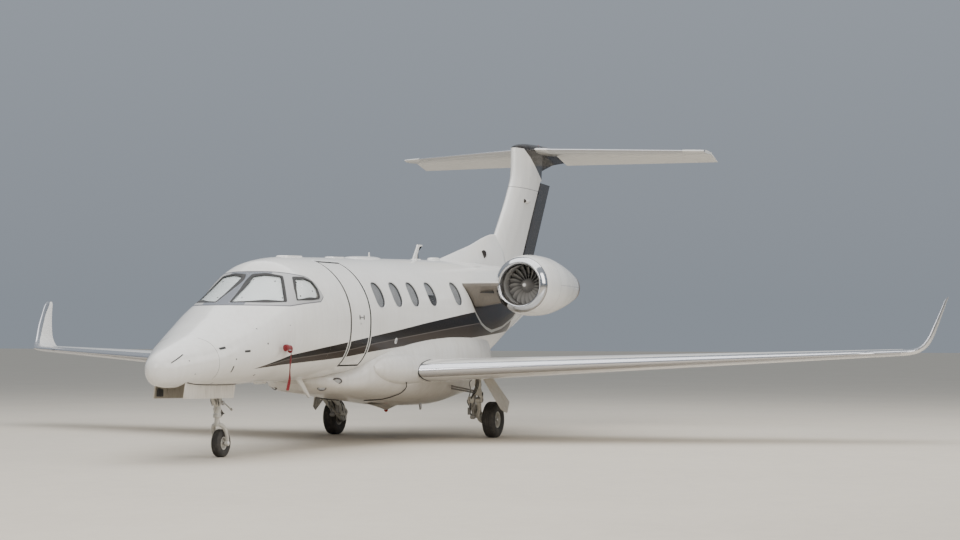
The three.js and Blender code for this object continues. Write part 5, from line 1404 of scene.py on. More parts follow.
# The main gear: a trailing-link leg each side. A forged leg comes down from the wing, a cast link turns
# on its foot and carries the axle, the brake lies inboard of the wheel, and a door hangs outboard.
LEG_X, LINK_Z = st(7.52), 0.590                  # the pin that the trailing link turns on
AXLE_X, AXLE_Z, WHEEL_Y = st(8.01), 0.276, 1.34
MAIN_RIM = 0.120
for name, side in SIDES:
    at = lambda offset: side * (WHEEL_Y + offset)
    between = lambda near, far: sorted((at(near), at(far)))
    axle = (AXLE_X, at(0), AXLE_Z)
    body = "main_wheel_body_" + name
    build("main_tyre_rubber_" + name, [tyre(axle, AXLE_Z, 0.1020, MAIN_RIM, (-0.45, -0.15, 0.15, 0.45))],
        tyre_rubber, body, replaces=["main_tyre_" + name], sharp=50)
    tool = web_holes(axle, 0.082, 0.019, 9, 0.06)
    build("main_wheel_casting_" + name, wheel(axle, MAIN_RIM, 0.073, 0.0305, side), wheel_paint, body,
        replaces=["main_wheel_" + name], cut=[tool])
    cap = [lathe([(side * 0.046, 0.0), (side * 0.046, 0.033), (side * 0.068, 0.030), (side * 0.075, 0.022),
        (side * 0.076, 0.0)], axle, "y", 32)]
    cap += bolts((AXLE_X, at(0.040) if side > 0 else at(0.040) - 0.010, AXLE_Z), "y", 0.046, 9, 0.0055, 0.010)
    build("main_hub_cap_" + name, cap, steel, body)

    leg = [lathe([(0.655, 0.0), (0.656, 0.044), (0.70, 0.047), (0.712, 0.056), (0.742, 0.056), (0.752, 0.048),
        (0.80, 0.047), (0.806, 0.055), (0.832, 0.055), (0.838, 0.048), (0.90, 0.048), (0.905, 0.058),
        (0.935, 0.058), (0.942, 0.048), (1.0, 0.048), (1.0097, 0.047), (1.0097, 0.0)], (LEG_X, at(-0.06), 0),
        "z", 40)]
    for offset in (-0.119, -0.001):
        cheek = curved([(LEG_X - 0.034, 0.70), (LEG_X - 0.045, 0.60), (LEG_X - 0.030, 0.556), (LEG_X, 0.545),
            (LEG_X + 0.030, 0.556), (LEG_X + 0.045, 0.60), (LEG_X + 0.034, 0.70)], 30)
        leg.append(plate(cheek, *between(offset - 0.011, offset + 0.011), 0.003))
    leg.append(plate([(LEG_X - 0.042, 0.655), (LEG_X + 0.042, 0.655), (LEG_X + 0.038, 0.71),
        (LEG_X - 0.038, 0.71)], *between(-0.13, 0.010), 0.004))
    build("main_leg_forging_" + name, leg, gear_paint, replaces=["main_leg_" + name])
    brace = [rod((LEG_X - 0.02, at(-0.07), 0.72), (st(7.42), side * 0.872, 0.80), 0.0125),
        rod((LEG_X + 0.01, at(-0.07), 0.69), (st(7.44), side * 0.872, 0.76), 0.0125),
        rod((LEG_X - 0.01, at(-0.10), 0.70), (LEG_X - 0.01, at(-0.04), 0.70), 0.028),
        rod((LEG_X - 0.045, at(-0.02), 0.94), (LEG_X + 0.14, at(-0.02), 1.03), 0.012)]
    build("main_side_brace_" + name, brace, gear_shade, replaces=["main_leg_" + name])
    inner_end, outer_end = between(-0.140, 0.018)
    pin = [rod((LEG_X, inner_end, LINK_Z), (LEG_X, outer_end, LINK_Z), 0.020, 24)]
    for offset in (-0.136, 0.011):
        pin.append(rod((LEG_X, at(offset), LINK_Z), (LEG_X, at(offset + 0.007), LINK_Z), 0.030, 6))
    build("main_pivot_pin_" + name, pin, steel)

    # The trailing link is a broad casting with a lightening hole, wide at the pivot and at the axle.
    outline = curved([(LEG_X + 0.000, 0.632), (LEG_X + 0.055, 0.600), (LEG_X + 0.16, 0.520),
        (LEG_X + 0.30, 0.405), (LEG_X + 0.42, 0.335), (AXLE_X + 0.03, 0.322), (AXLE_X + 0.062, 0.276),
        (AXLE_X + 0.03, 0.230), (AXLE_X - 0.04, 0.222), (LEG_X + 0.34, 0.255), (LEG_X + 0.20, 0.350),
        (LEG_X + 0.05, 0.500), (LEG_X - 0.042, 0.585), (LEG_X - 0.025, 0.620), (LEG_X + 0.000, 0.632)],
        90)[:-1]
    holes = []
    for spot, long in (((LEG_X + 0.115, 0.495), 0.050), ((LEG_X + 0.250, 0.372), 0.055),
            ((LEG_X + 0.38, 0.298), 0.036)):
        theta = turns(24)
        run, rise = long * np.cos(theta), 0.024 * np.sin(theta)
        ring = joined(spot[0] + run * 0.75 + rise * 0.66, spot[1] - run * 0.66 + rise * 0.75)
        holes.append(grid([np.insert(ring, 1, y, axis=1) for y in (min(at(-0.3), at(0.1)),
            max(at(-0.3), at(0.1)))]))
    tool = build("hole_cutter", holes, white, body=None)

    def leaned(rows):
        """Sets the casting over to the inboard side as it runs aft: from the leg's line to the axle's."""
        t = np.clip((rows[..., 0] - LEG_X - 0.03) / 0.22, 0, 1)
        rows[..., 1] -= side * 0.096 * t * t * (3 - 2 * t)
        return rows

    build("main_trailing_link_casting_" + name, [plate(outline, *between(-0.088, -0.030), 0.007, leaned)],
        gear_paint, replaces=["main_trailing_link_" + name], cut=[tool], bevel=0.003)
    spindle = [rod((LEG_X, at(-0.107), LINK_Z), (LEG_X, at(-0.013), LINK_Z), 0.039, 32),
        rod((AXLE_X, at(-0.194), AXLE_Z), (AXLE_X, at(0.030), AXLE_Z), 0.029, 32),
        rod((LEG_X + 0.02, at(-0.06), 0.66), (LEG_X + 0.22, at(-0.13), 0.455), 0.017, 20)]
    build("main_spindle_" + name, spindle, steel, replaces=["main_trailing_link_" + name])
    brake = [lathe([(-side * a, r) for a, r in ((0.0, 0.04), (0.0, 0.078), (0.006, 0.082), (0.022, 0.082),
        (0.026, 0.075), (0.036, 0.075), (0.040, 0.070), (0.064, 0.070), (0.064, 0.035))],
        (AXLE_X, at(-0.084), AXLE_Z), "y", 48)]
    for turn in np.arange(5) * 2 * np.pi / 5 + 0.3:
        spot = (AXLE_X + 0.054 * math.cos(turn), AXLE_Z + 0.054 * math.sin(turn))
        brake.append(rod((spot[0], at(-0.146), spot[1]), (spot[0], at(-0.158), spot[1]), 0.017, 20))
    build("main_brake_" + name, brake, gear_shade, replaces=["main_trailing_link_" + name])
    line = curved([(LEG_X - 0.040, at(-0.10), 0.93), (LEG_X - 0.030, at(-0.19), 0.844),
        (LEG_X - 0.025, at(-0.175), 0.738), (LEG_X + 0.02, at(-0.22), 0.63), (LEG_X + 0.09, at(-0.27), 0.55),
        (LEG_X + 0.20, at(-0.26), 0.45), (LEG_X + 0.33, at(-0.22), 0.35), (AXLE_X - 0.055, at(-0.19), 0.30)],
        60)
    build("main_brake_hose_" + name, [tube(line, 0.0065, 10)], hose_rubber)

    # Smaller fittings of the leg: bosses with dark bushes at the joints, the brake manifold, and its pipes.
    bosses, bushes = [], []
    for x, z, radius, offset in ((LEG_X + 0.01, 0.590, 0.060, -0.150), (st(7.78), 0.395, 0.052, -0.205),
            (st(7.93), 0.36, 0.045, -0.195)):
        ends = between(offset - 0.028, offset + 0.028)
        bosses.append(rod((x, ends[0], z), (x, ends[1], z), radius, 28, 0.006))
        bushes.append(rod((x, ends[0] - 0.002, z), (x, ends[1] + 0.002, z), radius * 0.48, 20, 0.002))
    arm = curved([(LEG_X - 0.02, 0.55), (st(7.62), 0.46), (st(7.68), 0.36), (st(7.74), 0.325),
        (st(7.90), 0.30), (st(8.0), 0.31), (st(8.02), 0.36), (st(7.93), 0.43), (st(7.80), 0.50),
        (st(7.66), 0.60), (LEG_X + 0.01, 0.64), (LEG_X - 0.03, 0.60), (LEG_X - 0.02, 0.55)], 60)[:-1]
    bosses.append(plate(arm, *between(-0.222, -0.190), 0.006))
    manifold = [rod((st(7.60), at(-0.235), 0.36), (st(7.60), at(-0.235), 0.47), 0.026, 20, 0.004),
        rod((st(7.57), at(-0.200), 0.33), (st(7.57), at(-0.130), 0.33), 0.034, 20, 0.006),
        rod((st(7.60), at(-0.235), 0.38), (st(7.74), at(-0.215), 0.34), 0.014, 14),
        rod((LEG_X - 0.05, at(-0.09), 0.66), (st(7.56), at(-0.16), 0.36), 0.016, 16)]
    pipes = [tube(curved([(LEG_X - 0.055, at(-0.06 + k * 0.02), 0.93), (LEG_X - 0.068, at(-0.07 + k * 0.02),
        0.82), (LEG_X - 0.085, at(-0.10 + k * 0.02), 0.72), (LEG_X - 0.04, at(-0.16), 0.60),
        (st(7.58), at(-0.21), 0.47 - k * 0.03)], 40), 0.006, 8) for k in range(3)]
    build("main_gear_bosses_" + name, bosses, gear_paint)
    build("main_gear_bushes_" + name, bushes, gear_shade)
    build("main_brake_manifold_" + name, manifold, gear_shade)
    build("main_gear_pipes_" + name, pipes, hose_rubber)

    # The leg door: a stiffened grey panel that hangs outboard of the leg.
    lean_door, yaw_door = math.radians(19.8), side * math.radians(6)

    def hung(rows):
        """Turns the door about its upper edge, so that its foot stands further out."""
        run, out, up = rows[..., 0], rows[..., 1], rows[..., 2]
        over = out * math.cos(lean_door) - side * up * math.sin(lean_door)
        return joined(st(7.40) + run * math.cos(yaw_door) - over * math.sin(yaw_door), at(0.010) + run
            * math.sin(yaw_door) + over * math.cos(yaw_door), 0.985 + side * out * math.sin(lean_door) + up
            * math.cos(lean_door))

    panel = rounded([(0.004, 0.03), (0.316, 0.03), (0.694, -0.468), (0.50, -0.641), (0.342, -0.581)], 0.02)
    flat = [plate(panel, -0.0075, 0.0075, 0.003, hung)]
    for share in (0.30, 0.70):
        ridge = [(0.30 * share - 0.012, -0.02), (0.30 * share + 0.012, -0.02),
            (0.36 + 0.27 * share + 0.010, -0.54), (0.36 + 0.27 * share - 0.014, -0.54)]
        flat.append(plate(ridge, *sorted((-side * 0.0075, -side * 0.0125)), 0.002, hung))
    build("main_leg_door_panel_" + name, flat, door_inner, replaces=["main_leg_door_" + name])


# The cockpit glazing: thick laminated panes bedded in black sealant inside a polished metal surround
# that rows of small screws hold. Folded reflective sunshades stand close behind each pane.
def dots(points, normals, radius, proud, sides=10):
    """Low round heads: flat discs with a bevelled edge that stand proud of the skin at each point."""
    turn = turns(sides)
    made = []
    for point, normal in zip(points, normals):
        first = np.cross(normal, (0.31, 0.17, 0.93))
        first /= np.linalg.norm(first)
        second = np.cross(normal, first)
        circle = np.cos(turn)[:, None] * first + np.sin(turn)[:, None] * second
        rows = [point + circle * radius - normal * 0.002, point + circle * radius + normal * proud * 0.3,
            point + circle * radius * 0.75 + normal * proud]
        made.append(grid(rows))
    return made


def skin_normal(points):
    """The direction square to the fuselage skin, from the slopes of its depth."""
    slopes = [depth_in(points + step) - depth_in(points - step) for step in np.eye(3) * 2e-3]
    normal = np.stack(slopes, -1)
    return normal / np.linalg.norm(normal, axis=-1)[..., None]


def see_through(name, tint, share, roughness=0.02):
    """Glass: light passes a share of the surface, more straight on than at a glance, the rest mirrors."""
    made, tree, shader = material(name, tint, roughness, Coat_Weight=0.0, IOR=1.52)
    smear = put(tree, "MapRange", {"Value": texture(tree, "Noise", {"Scale": 7.0}), "From Min": 0.4,
        "From Max": 0.8, "To Min": share, "To Max": share + 0.06})
    glance = put(tree, "LayerWeight", {"Blend": 0.06}, out=1)
    feed(shader, Alpha=sums(tree, "MAXIMUM", smear, glance))
    return made


cockpit_glass = see_through("cockpit_glass", (0.10, 0.13, 0.125), 0.04)
cabin_glass = see_through("cabin_glass", (0.045, 0.048, 0.052), 0.14)
sunshade, tree, shader = material("sunshade_foil", (0.86, 0.89, 0.87), 0.5)
crease = texture(tree, "Voronoi", {"Scale": 26.0})
# The foil is painted greyer along its creases: painted shade in the folds.
weathered(tree, shader, layer(tree, sums(tree, "MULTIPLY", crease, 0.35), (0.90, 0.93, 0.91),
    (0.74, 0.78, 0.77)), (0.6, 0.62, 0.6), 0.1, 0.45, 6.0, 0.2)
feed(shader, Normal=put(tree, "Bump", {"Height": crease, "Strength": 0.5, "Distance": 0.006}))
metal_trim = plain("screw_steel", (0.50, 0.49, 0.48), (0.2, 0.18, 0.16), 0.3, 0.3, 20.0, 0.1, metallic=1.0)

for name, side in SIDES:
    for kind, outline, view in (("windscreen", WINDSCREEN, from_corner(side)),
            ("cockpit_side_window", SIDE_WINDOW, from_side(side))):
        ring = filled(outline, 0.02)
        build("%s_glass_%s" % (kind, name), [pane(ring, view, 0.003, 0.015, by=0.0006)], cockpit_glass,
            replaces=["%s_%s" % (kind, name)])
        seal = [(-0.012, -0.0016), (-0.012, 0.004), (0.024, 0.006), (0.026, 0.0028), (0.022, -0.0012)]
        build("%s_seal_%s" % (kind, name), [swept(ring, view, seal)], black_seal)
        shade = drawn_in(ring, 0.028)
        build("%s_sunshade_%s" % (kind, name), [pane(shade, view, 0.019, 0.024)], sunshade)
        place_at, inward = view
        screws = onto(place_at(filled(drawn_in(outline, -0.024), 0.034)), inward)
        build("%s_screws_%s" % (kind, name), dots(screws, skin_normal(screws), 0.0042, 0.0012), metal_trim)
cups = []
for side in (-1, 1):
    for view, spots in ((from_corner(side), [(1.79, 2.27), (2.03, 2.25), (2.05, 2.03), (1.52, 2.03)]),
            (from_side(side), [(st(2.62), 2.06), (st(2.93), 2.13), (st(2.70), 2.24)])):
        place_at, inward = view
        spots = onto(place_at(np.array(spots)), inward, 0.019)
        cups += dots(spots, skin_normal(spots), 0.012, 0.003, 16)
build("sunshade_suction_cups", cups, hose_rubber)

# The cabin windows: a bright metal rim round each clear acrylic pane, a reveal inside it painted near black
# as shade, and a pleated blind part of the way down on the cabin side.
blind = plain("pleated_blind", (0.44, 0.45, 0.46), (0.30, 0.30, 0.31), 0.2, 0.8, 12.0, 0.15)
# The reveal round each window is painted near black: painted shade in the recess.
reveal_shade = plain("window_reveal_shade", (0.07, 0.072, 0.078), (0.12, 0.12, 0.12), 0.2, 0.6, 8.0, 0.1)
rim_paint = plain("window_rim", (0.74, 0.73, 0.71), DUST, 0.2, 0.3, 9.0, 0.1, metallic=0.2)
for name, side in SIDES:
    panes, rims, blinds, backs = [], [], [], []
    view = from_side(side)
    for k, station in enumerate(PORT_WINDOWS if side < 0 else STARBOARD_WINDOWS):
        middle = st(station), window_height(station)
        outline = oval(WINDOW_WIDE, WINDOW_HIGH, *middle)
        panes.append(pane(outline, view, 0.006, 0.012, by=0.0005))
        rims.append(swept(outline, view, [(-0.012, -0.0015), (-0.012, 0.003), (0.002, 0.008), (0.005, 0.005),
            (0.001, -0.0015)]))
        backs.append(swept(outline, view, [(0.0004, 0.0125), (0.0004, 0.094), (0.040, 0.098), (0.040, 0.088),
            (0.008, 0.040), (0.006, 0.0125)]))
        drop = 0.55 if k == len(PORT_WINDOWS if side < 0 else STARBOARD_WINDOWS) - 2 else 1.0
        top = middle[1] + 0.175
        levels = np.arange(top, top - 0.35 * drop, -0.0065)
        fold = np.where(np.arange(len(levels)) % 2, 0.028, 0.034)
        across = np.linspace(-0.15, 0.15, 9)
        place_at, inward = view
        flat = joined(middle[0] + across[None], levels[:, None])
        front, rear = (onto(place_at(flat), inward, 0.02) for _ in range(2))
        front[..., 1] -= side * (fold - 0.02)[:, None]
        rear[..., 1] -= side * (fold - 0.018)[:, None]
        ring = np.concatenate([front, rear[:, ::-1]], 1)
        blinds.append(grid(ring))
    build("cabin_window_panes_" + name, panes, cabin_glass, replaces=["cabin_windows_" + name])
    build("cabin_window_rims_" + name, rims, rim_paint)
    build("cabin_window_reveals_" + name, backs, reveal_shade, replaces=["cabin_windows_" + name])
    build("cabin_window_blinds_" + name, blinds, blind)

# The airstair door: a section of the fuselage side that turns out about a hinge at its sill. A dark
# rubber seal fills the gap round it between two bright sealant lines, and four steps stand inside.
leather, tree, shader = material("seat_leather", (0.62, 0.53, 0.42), 0.42)
grain = texture(tree, "Voronoi", {"Scale": 420.0})
weathered(tree, shader, (0.62, 0.53, 0.42), (0.42, 0.33, 0.24), 0.35, 0.38, 7.0, 0.2)
feed(shader, Normal=put(tree, "Bump", {"Height": grain, "Strength": 0.25, "Distance": 0.001}))
cabin_trim = plain("cabin_trim", (0.66, 0.62, 0.55), (0.50, 0.45, 0.38), 0.25, 0.55, 3.0, 0.2)
carpet, tree, shader = material("carpet", (0.20, 0.17, 0.14), 0.95, Sheen_Weight=0.3)
tuft = texture(tree, "Voronoi", {"Scale": 260.0})
weathered(tree, shader, layer(tree, tuft, (0.26, 0.225, 0.19), (0.12, 0.10, 0.085)), (0.30, 0.27, 0.23), 0.3,
    0.92, 4.0, 0.3)
feed(shader, Normal=put(tree, "Bump", {"Height": tuft, "Strength": 0.6, "Distance": 0.003}))
grip = plain("step_grip", (0.05, 0.05, 0.052), (0.20, 0.18, 0.15), 0.4, 0.85, 14.0, 0.5)
sealant = plain("sealant_line", (0.84, 0.83, 0.80), DUST, 0.2, 0.3, 10.0, 0.1)


def lined(piece, finish, inset=0.045):
    """Gives a second finish to the faces whose middles lie further inside the skin than a depth."""
    piece.data.materials.append(finish)
    middle = np.empty(len(piece.data.polygons) * 3)
    piece.data.polygons.foreach_get("center", middle)
    inner = depth_in(middle.reshape(-1, 3), inset) < 0
    piece.data.polygons.foreach_set("material_index", inner.astype(np.int32))


lined(bpy.data.objects["cabin_skin"], cabin_trim)
lined(bpy.data.objects["cockpit_skin"], cabin_trim)

PANEL_X, PANEL_Z = (st(3.816), st(4.449)), (1.146, 2.554)
HINGE = (st(4.1325), -0.6737, 1.16)


def prism(section_outline, start, end):
    """An outline in y and z carried along x."""
    outline = np.asarray(section_outline, float)
    return grid([np.insert(outline, 0, x, axis=1) for x in (start, end)])


tools = [box_cutter("door_foot_cutter", (st(3.7), -1.3, 0.5), (st(4.6), 1.3, PANEL_Z[0])),
    box_cutter("door_far_cutter", (st(3.7), -0.19, 0.5), (st(4.6), 1.3, 2.8)),
    build("door_head_cutter",
    [prism([(-1.3, PANEL_Z[1]), (-0.36, PANEL_Z[1]), (-0.12, 2.494), (1.3, 2.494), (1.3, 3.0), (-1.3, 3.0)],
    st(3.7), st(4.6))], white, body=None)]
panel = build("airstair_door_panel", [shell(*PANEL_X, 0.03)], liveried, "airstair_door_body",
    replaces=["airstair_door"], cut=tools)
lined(panel, cabin_trim)

port = from_side(-1)
opening, edge = (filled(np.array([(x[0], z[0]), (x[1], z[0]), (x[1], z[1]), (x[0], z[1])]), 0.03) for x,
    z in ((DOOR_X, DOOR_Z), (PANEL_X, PANEL_Z)))


def frame_strip(outline, outer, inner, proud, deep, level=0.45):
    """A flat strip along the door's edge, from a line outside it to a line inside it, laid on the skin."""
    middle = outline.mean(0)
    size = np.abs(outline - middle).max(0)
    drawn = [(outline - middle) * (1 - np.multiply(by, (1, level)) / size) + middle for by in (outer, outer,
        inner, inner)]
    place_at, inward = port
    return grid([onto(place_at(line), inward, inset) for line,
        inset in zip(drawn, (deep, -proud, -proud, deep))], loop=True)


for strip, outline, lines, finish, body, slot in (("door_gap_seal", opening,
        (0.0002, 0.0055, -0.0025, 0.02, 1), black_seal, "airframe", "dark_paint"),
        ("door_frame_sealant", opening, (-0.042, -0.021, 0.0012, 0.004), sealant, "airframe", "white_paint"),
        ("door_frame_shadow_line", opening, (-0.021, 0.0001, 0.0010, 0.004), black_seal, "airframe",
        "dark_paint"), ("door_edge_sealant", edge, (0.020, 0.040, 0.0012, 0.004), sealant,
        "airstair_door_body", "white_paint"), ("door_edge_shadow_line", edge, (0.0001, 0.020, 0.0010, 0.004),
        black_seal, "airstair_door_body", "dark_paint")):
    build(strip, [frame_strip(outline, *lines)], finish, body)

handle = [pane(oval(0.030, 0.066, st(x), 1.80, 0.7), port, -0.0015, 0.004) for x in (4.095, 4.232)]
build("door_handle_recess", handle, black_seal, "airstair_door_body")
build("door_handle_bar", [pane(oval(0.120, 0.016, st(4.163), 1.80, 0.4), port, -0.003, 0.003),
    pane(oval(0.026, 0.026, st(4.128), 1.714, 1.0), port, -0.0012, 0.003)], metal_trim, "airstair_door_body")

STEP_FEET, STEP_PITCH, SLOPE = (1.25, 1.52, 1.79, 2.06), 0.262, math.radians(35)
bodies, mats, noses = [], [], []
for foot in STEP_FEET:
    inner = [-hull(np.array(st(4.1)), np.arcsin(np.clip((z - 1.75) / 0.8, -0.99, 0.99)), WALL)[1]
        for z in (foot, foot + STEP_PITCH)]
    start = np.array([inner[0], foot])
    reach = STEP_PITCH * math.cos(SLOPE)
    tread, rise = np.array([math.sin(SLOPE), math.cos(SLOPE)]), np.array([-math.cos(SLOPE), math.sin(SLOPE)])
    corner = start + tread * reach
    back = np.array([inner[1], foot + STEP_PITCH])
    outline = [start - (0.035, 0), start + rise * 0.004, corner + rise * 0.004 - tread * 0.002, back,
        back - (0.035, 0)]
    bodies.append(prism(outline, DOOR_X[0] + 0.078, DOOR_X[1] - 0.078))
    for k in range(9):
        low = start + tread * (0.012 + k * 0.0215)
        high = low + tread * 0.014
        mats.append(prism([low - rise * 0.0002, high - rise * 0.0002, high + rise * 0.005,
            low + rise * 0.005], DOOR_X[0] + 0.090, DOOR_X[1] - 0.090))
    noses.append(prism([corner - tread * 0.012, corner, corner + rise * 0.012, corner + rise * 0.012 - tread
        * 0.012], DOOR_X[0] + 0.076, DOOR_X[1] - 0.076))
build("airstair_steps", bodies, cabin_trim, "airstair_door_body", bevel=0.004)
build("airstair_step_grips", mats, grip, "airstair_door_body")
build("airstair_step_noses", noses, metal_trim, "airstair_door_body")
build("airstair_hinge_pins", [rod((x - 0.05, *HINGE[1:]), (x + 0.05, *HINGE[1:]), 0.007)
    for x in (st(3.95), st(4.315))], steel)

# The cabin: a carpeted floor, and six leather seats in three pairs on machined bases. Each has foam
# cushions in sewn covers with piped edges and cross channels, a headrest, and an armrest by the aisle.
floor_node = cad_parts["cabin_floor"]
floor_node.data.materials.clear()
floor_node.data.materials.append(carpet)
CABIN_FLOOR = 1.125


def cushion(low, high, across, channels=3, tuck=0.05):
    """A crowned closed pad between two corners: a squared ball, flattened along its thin direction, whose
    sides draw in between its corners, with a seam round its edge and sewn channels over its faces."""
    low, high = np.asarray(low, float), np.asarray(high, float)
    middle, half = (low + high) / 2, (high - low) / 2
    tilt = np.linspace(-np.pi / 2, np.pi / 2, 33)[:, None]
    turn = turns(96)[None]
    a = signed(np.cos(turn), 0.30) * np.cos(tilt) ** 0.22
    b = signed(np.sin(turn), 0.30) * np.cos(tilt) ** 0.22
    thin = signed(np.sin(tilt), 0.55) * (1 - 0.30 * np.maximum(np.abs(a), np.abs(b)) ** 4)
    a, b = a * (1 - tuck * (1 - b * b)), b * (1 - tuck * (1 - a * a))
    seam = 1 - 0.02 * np.exp(-(tilt / 0.07) ** 2)
    lines = np.linspace(-0.6, 0.6, channels)
    grooves = sum(np.exp(-((b - line) / 0.035) ** 2) for line in lines)
    thin = thin * (1 - 0.10 * grooves * (np.abs(np.sin(tilt)) > 0.4))
    order = {"z": (a, b, thin), "x": (thin, b, a)}[across]
    points = joined(*(share * size for share, size in zip(order, half)))
    return grid(points * seam[..., None] + middle)


for node, station, facing in (("pilot_seats", 3.04, -1), ("club_seats_forward", 4.90, 1),
        ("club_seats_aft", 6.90, -1)):
    frames = [plate([(st(station) + facing * x, z) for x, z in ((0.0, CABIN_FLOOR + 0.002),
        (0.48, CABIN_FLOOR + 0.002), (0.48, CABIN_FLOOR + 0.028), (0.0, CABIN_FLOOR + 0.028))], -0.42, 0.42,
        0.004)]
    arms = []
    for name, side in SIDES:
        at = lambda x, y, z: np.array([st(station) + facing * x, side * y, CABIN_FLOOR + z])
        span = lambda p, q: (np.minimum(p, q), np.maximum(p, q))
        legs = np.array([(0.065, 0.025), (0.415, 0.025), (0.38, 0.24), (0.10, 0.24)])
        frames.append(plate([(st(station) + facing * x, CABIN_FLOOR + z) for x, z in legs],
            *sorted((side * 0.235, side * 0.42)), 0.012))
        arms.append(plate(rounded([(st(station) + facing * x, CABIN_FLOOR + z) for x,
            z in ((0.065, 0.40), (0.415, 0.40), (0.415, 0.535), (0.065, 0.535))], 0.03),
            *sorted((side * 0.1305, side * 0.188)), 0.010))
        seat = "%s_%s" % (node, name)
        for part, (low, high), across, channels in (("cushion",
                span(at(0.0, 0.195, 0.245), at(0.5, 0.575, 0.398)), "z", 4),
                ("back", span(at(-0.04, 0.195, 0.395), at(0.088, 0.575, 0.80)), "x", 4),
                ("headrest", span(at(-0.03, 0.25, 0.81), at(0.075, 0.52, 0.955)), "x", 2)):
            pad = build(seat + "_" + part, [cushion(low, high, across, channels)], leather, replaces=[node],
                sharp=70)
    build(node + "_frames", frames, gear_shade, replaces=[node])
    build(node + "_armrests", arms, cabin_trim, replaces=[node], sharp=50)

# Small fittings on the skin: antennas on the roof, probes, vents, drain masts and lamps. They are cast or
# moulded parts, screwed or bonded on, white or dark, and each stands on the surface that carries it.
from_above = (lambda flat, w=0.0: joined(flat[..., 0], flat[..., 1], 3.2 - w), (0, 0, -1))


def blister(outline, view, height, fall=6.0):
    """A low dome on the skin: its height falls from the middle as the root of 1 less a power of the share."""
    place_at, inward = view
    shares = np.linspace(0, 1, 14)
    lift = height * np.sqrt(1 - shares ** fall)
    face = [onto(place_at(drawn_in(outline, 0, s)), inward) - np.array(inward) * up for s,
        up in zip(shares, lift)]
    rear = [onto(place_at(drawn_in(outline, 0, s)), inward, 0.004) for s in shares[::-1]]
    return grid(face + rear)


def fin_plate(outline, middle, thick, thin=0.010, count=9):
    """An upright blade: its outline in x and z, thinned towards its edges like a wing, about a side value."""
    outline = np.asarray(outline, float)
    bow = np.linspace(-1, 1, count)
    rows = [np.insert(drawn_in(outline, thin * abs(b) ** 3), 1, middle + b * thick / 2, axis=1) for b in bow]
    return grid(rows)


antennas = [blister(oval(0.53, 0.20, st(3.665), 0.0, 0.35), from_above, 0.020, 30),
    blister(oval(0.43, 0.16, st(5.115), 0.0, 0.4), from_above, 0.016, 30),
    blister(oval(1.07, 0.34, st(6.055), 0.0, 0.8), from_above, 0.032, 3),
    blister(oval(0.30, 0.11, st(8.10), 0.0, 0.6), from_above, 0.014, 8),
    blister(oval(0.38, 0.14, st(8.84), 0.0, 0.7), from_above, 0.042, 5),
    fin_plate([(st(7.97), 2.72), (st(8.19), 2.72), (st(8.135), 2.80), (st(8.235), 2.965), (st(8.35), 2.982),
    (st(8.35), 2.998), (st(8.165), 2.998), (st(8.135), 2.95), (st(8.01), 2.80)], 0.0, 0.022, 0.003),
    fin_plate([(st(6.28), 2.70), (st(6.35), 2.70), (st(6.33), 2.795), (st(6.30), 2.795)], 0.0, 0.012),
    fin_plate([(st(2.61), 0.95), (st(3.01), 0.95), (st(2.97), 0.905), (st(2.68), 0.905)], 0.0, 0.03),
    fin_plate([(st(3.44), 1.00), (st(3.60), 1.00), (st(3.76), 0.86), (st(3.925), 0.706), (st(3.875), 0.702),
    (st(3.67), 0.83)], -0.2, 0.026, 0.006)]
build("roof_and_belly_antennas", antennas, white, sharp=50)
masts = [fin_plate([(st(7.03), 0.64), (st(7.13), 0.64), (st(7.15), 0.45), (st(7.10), 0.44)], -0.5, 0.018),
    fin_plate([(st(8.22), 0.62), (st(8.32), 0.62), (st(8.36), 0.42), (st(8.31), 0.41)], 0.0, 0.018)]
build("drain_masts", masts, metal_trim, sharp=50)
hump = [np.insert(oval(1.10 * s, 0.36 * s, st(6.97), 0.0, 1.0, 48), 2, 0.424 + 0.112 * s ** 0.8, axis=1)
    for s in np.linspace(0.03, 1.0, 14)]
build("belly_fillet_dome", [grid(hump)], fairing_paint)
build("belly_lamp", [lathe([(0.012, 0.030), (0.0, 0.030), (-0.012, 0.026), (-0.022, 0.012), (-0.024, 0.0)],
    (st(6.97), 0, 0.428), "z", 28)], beacon_glass)

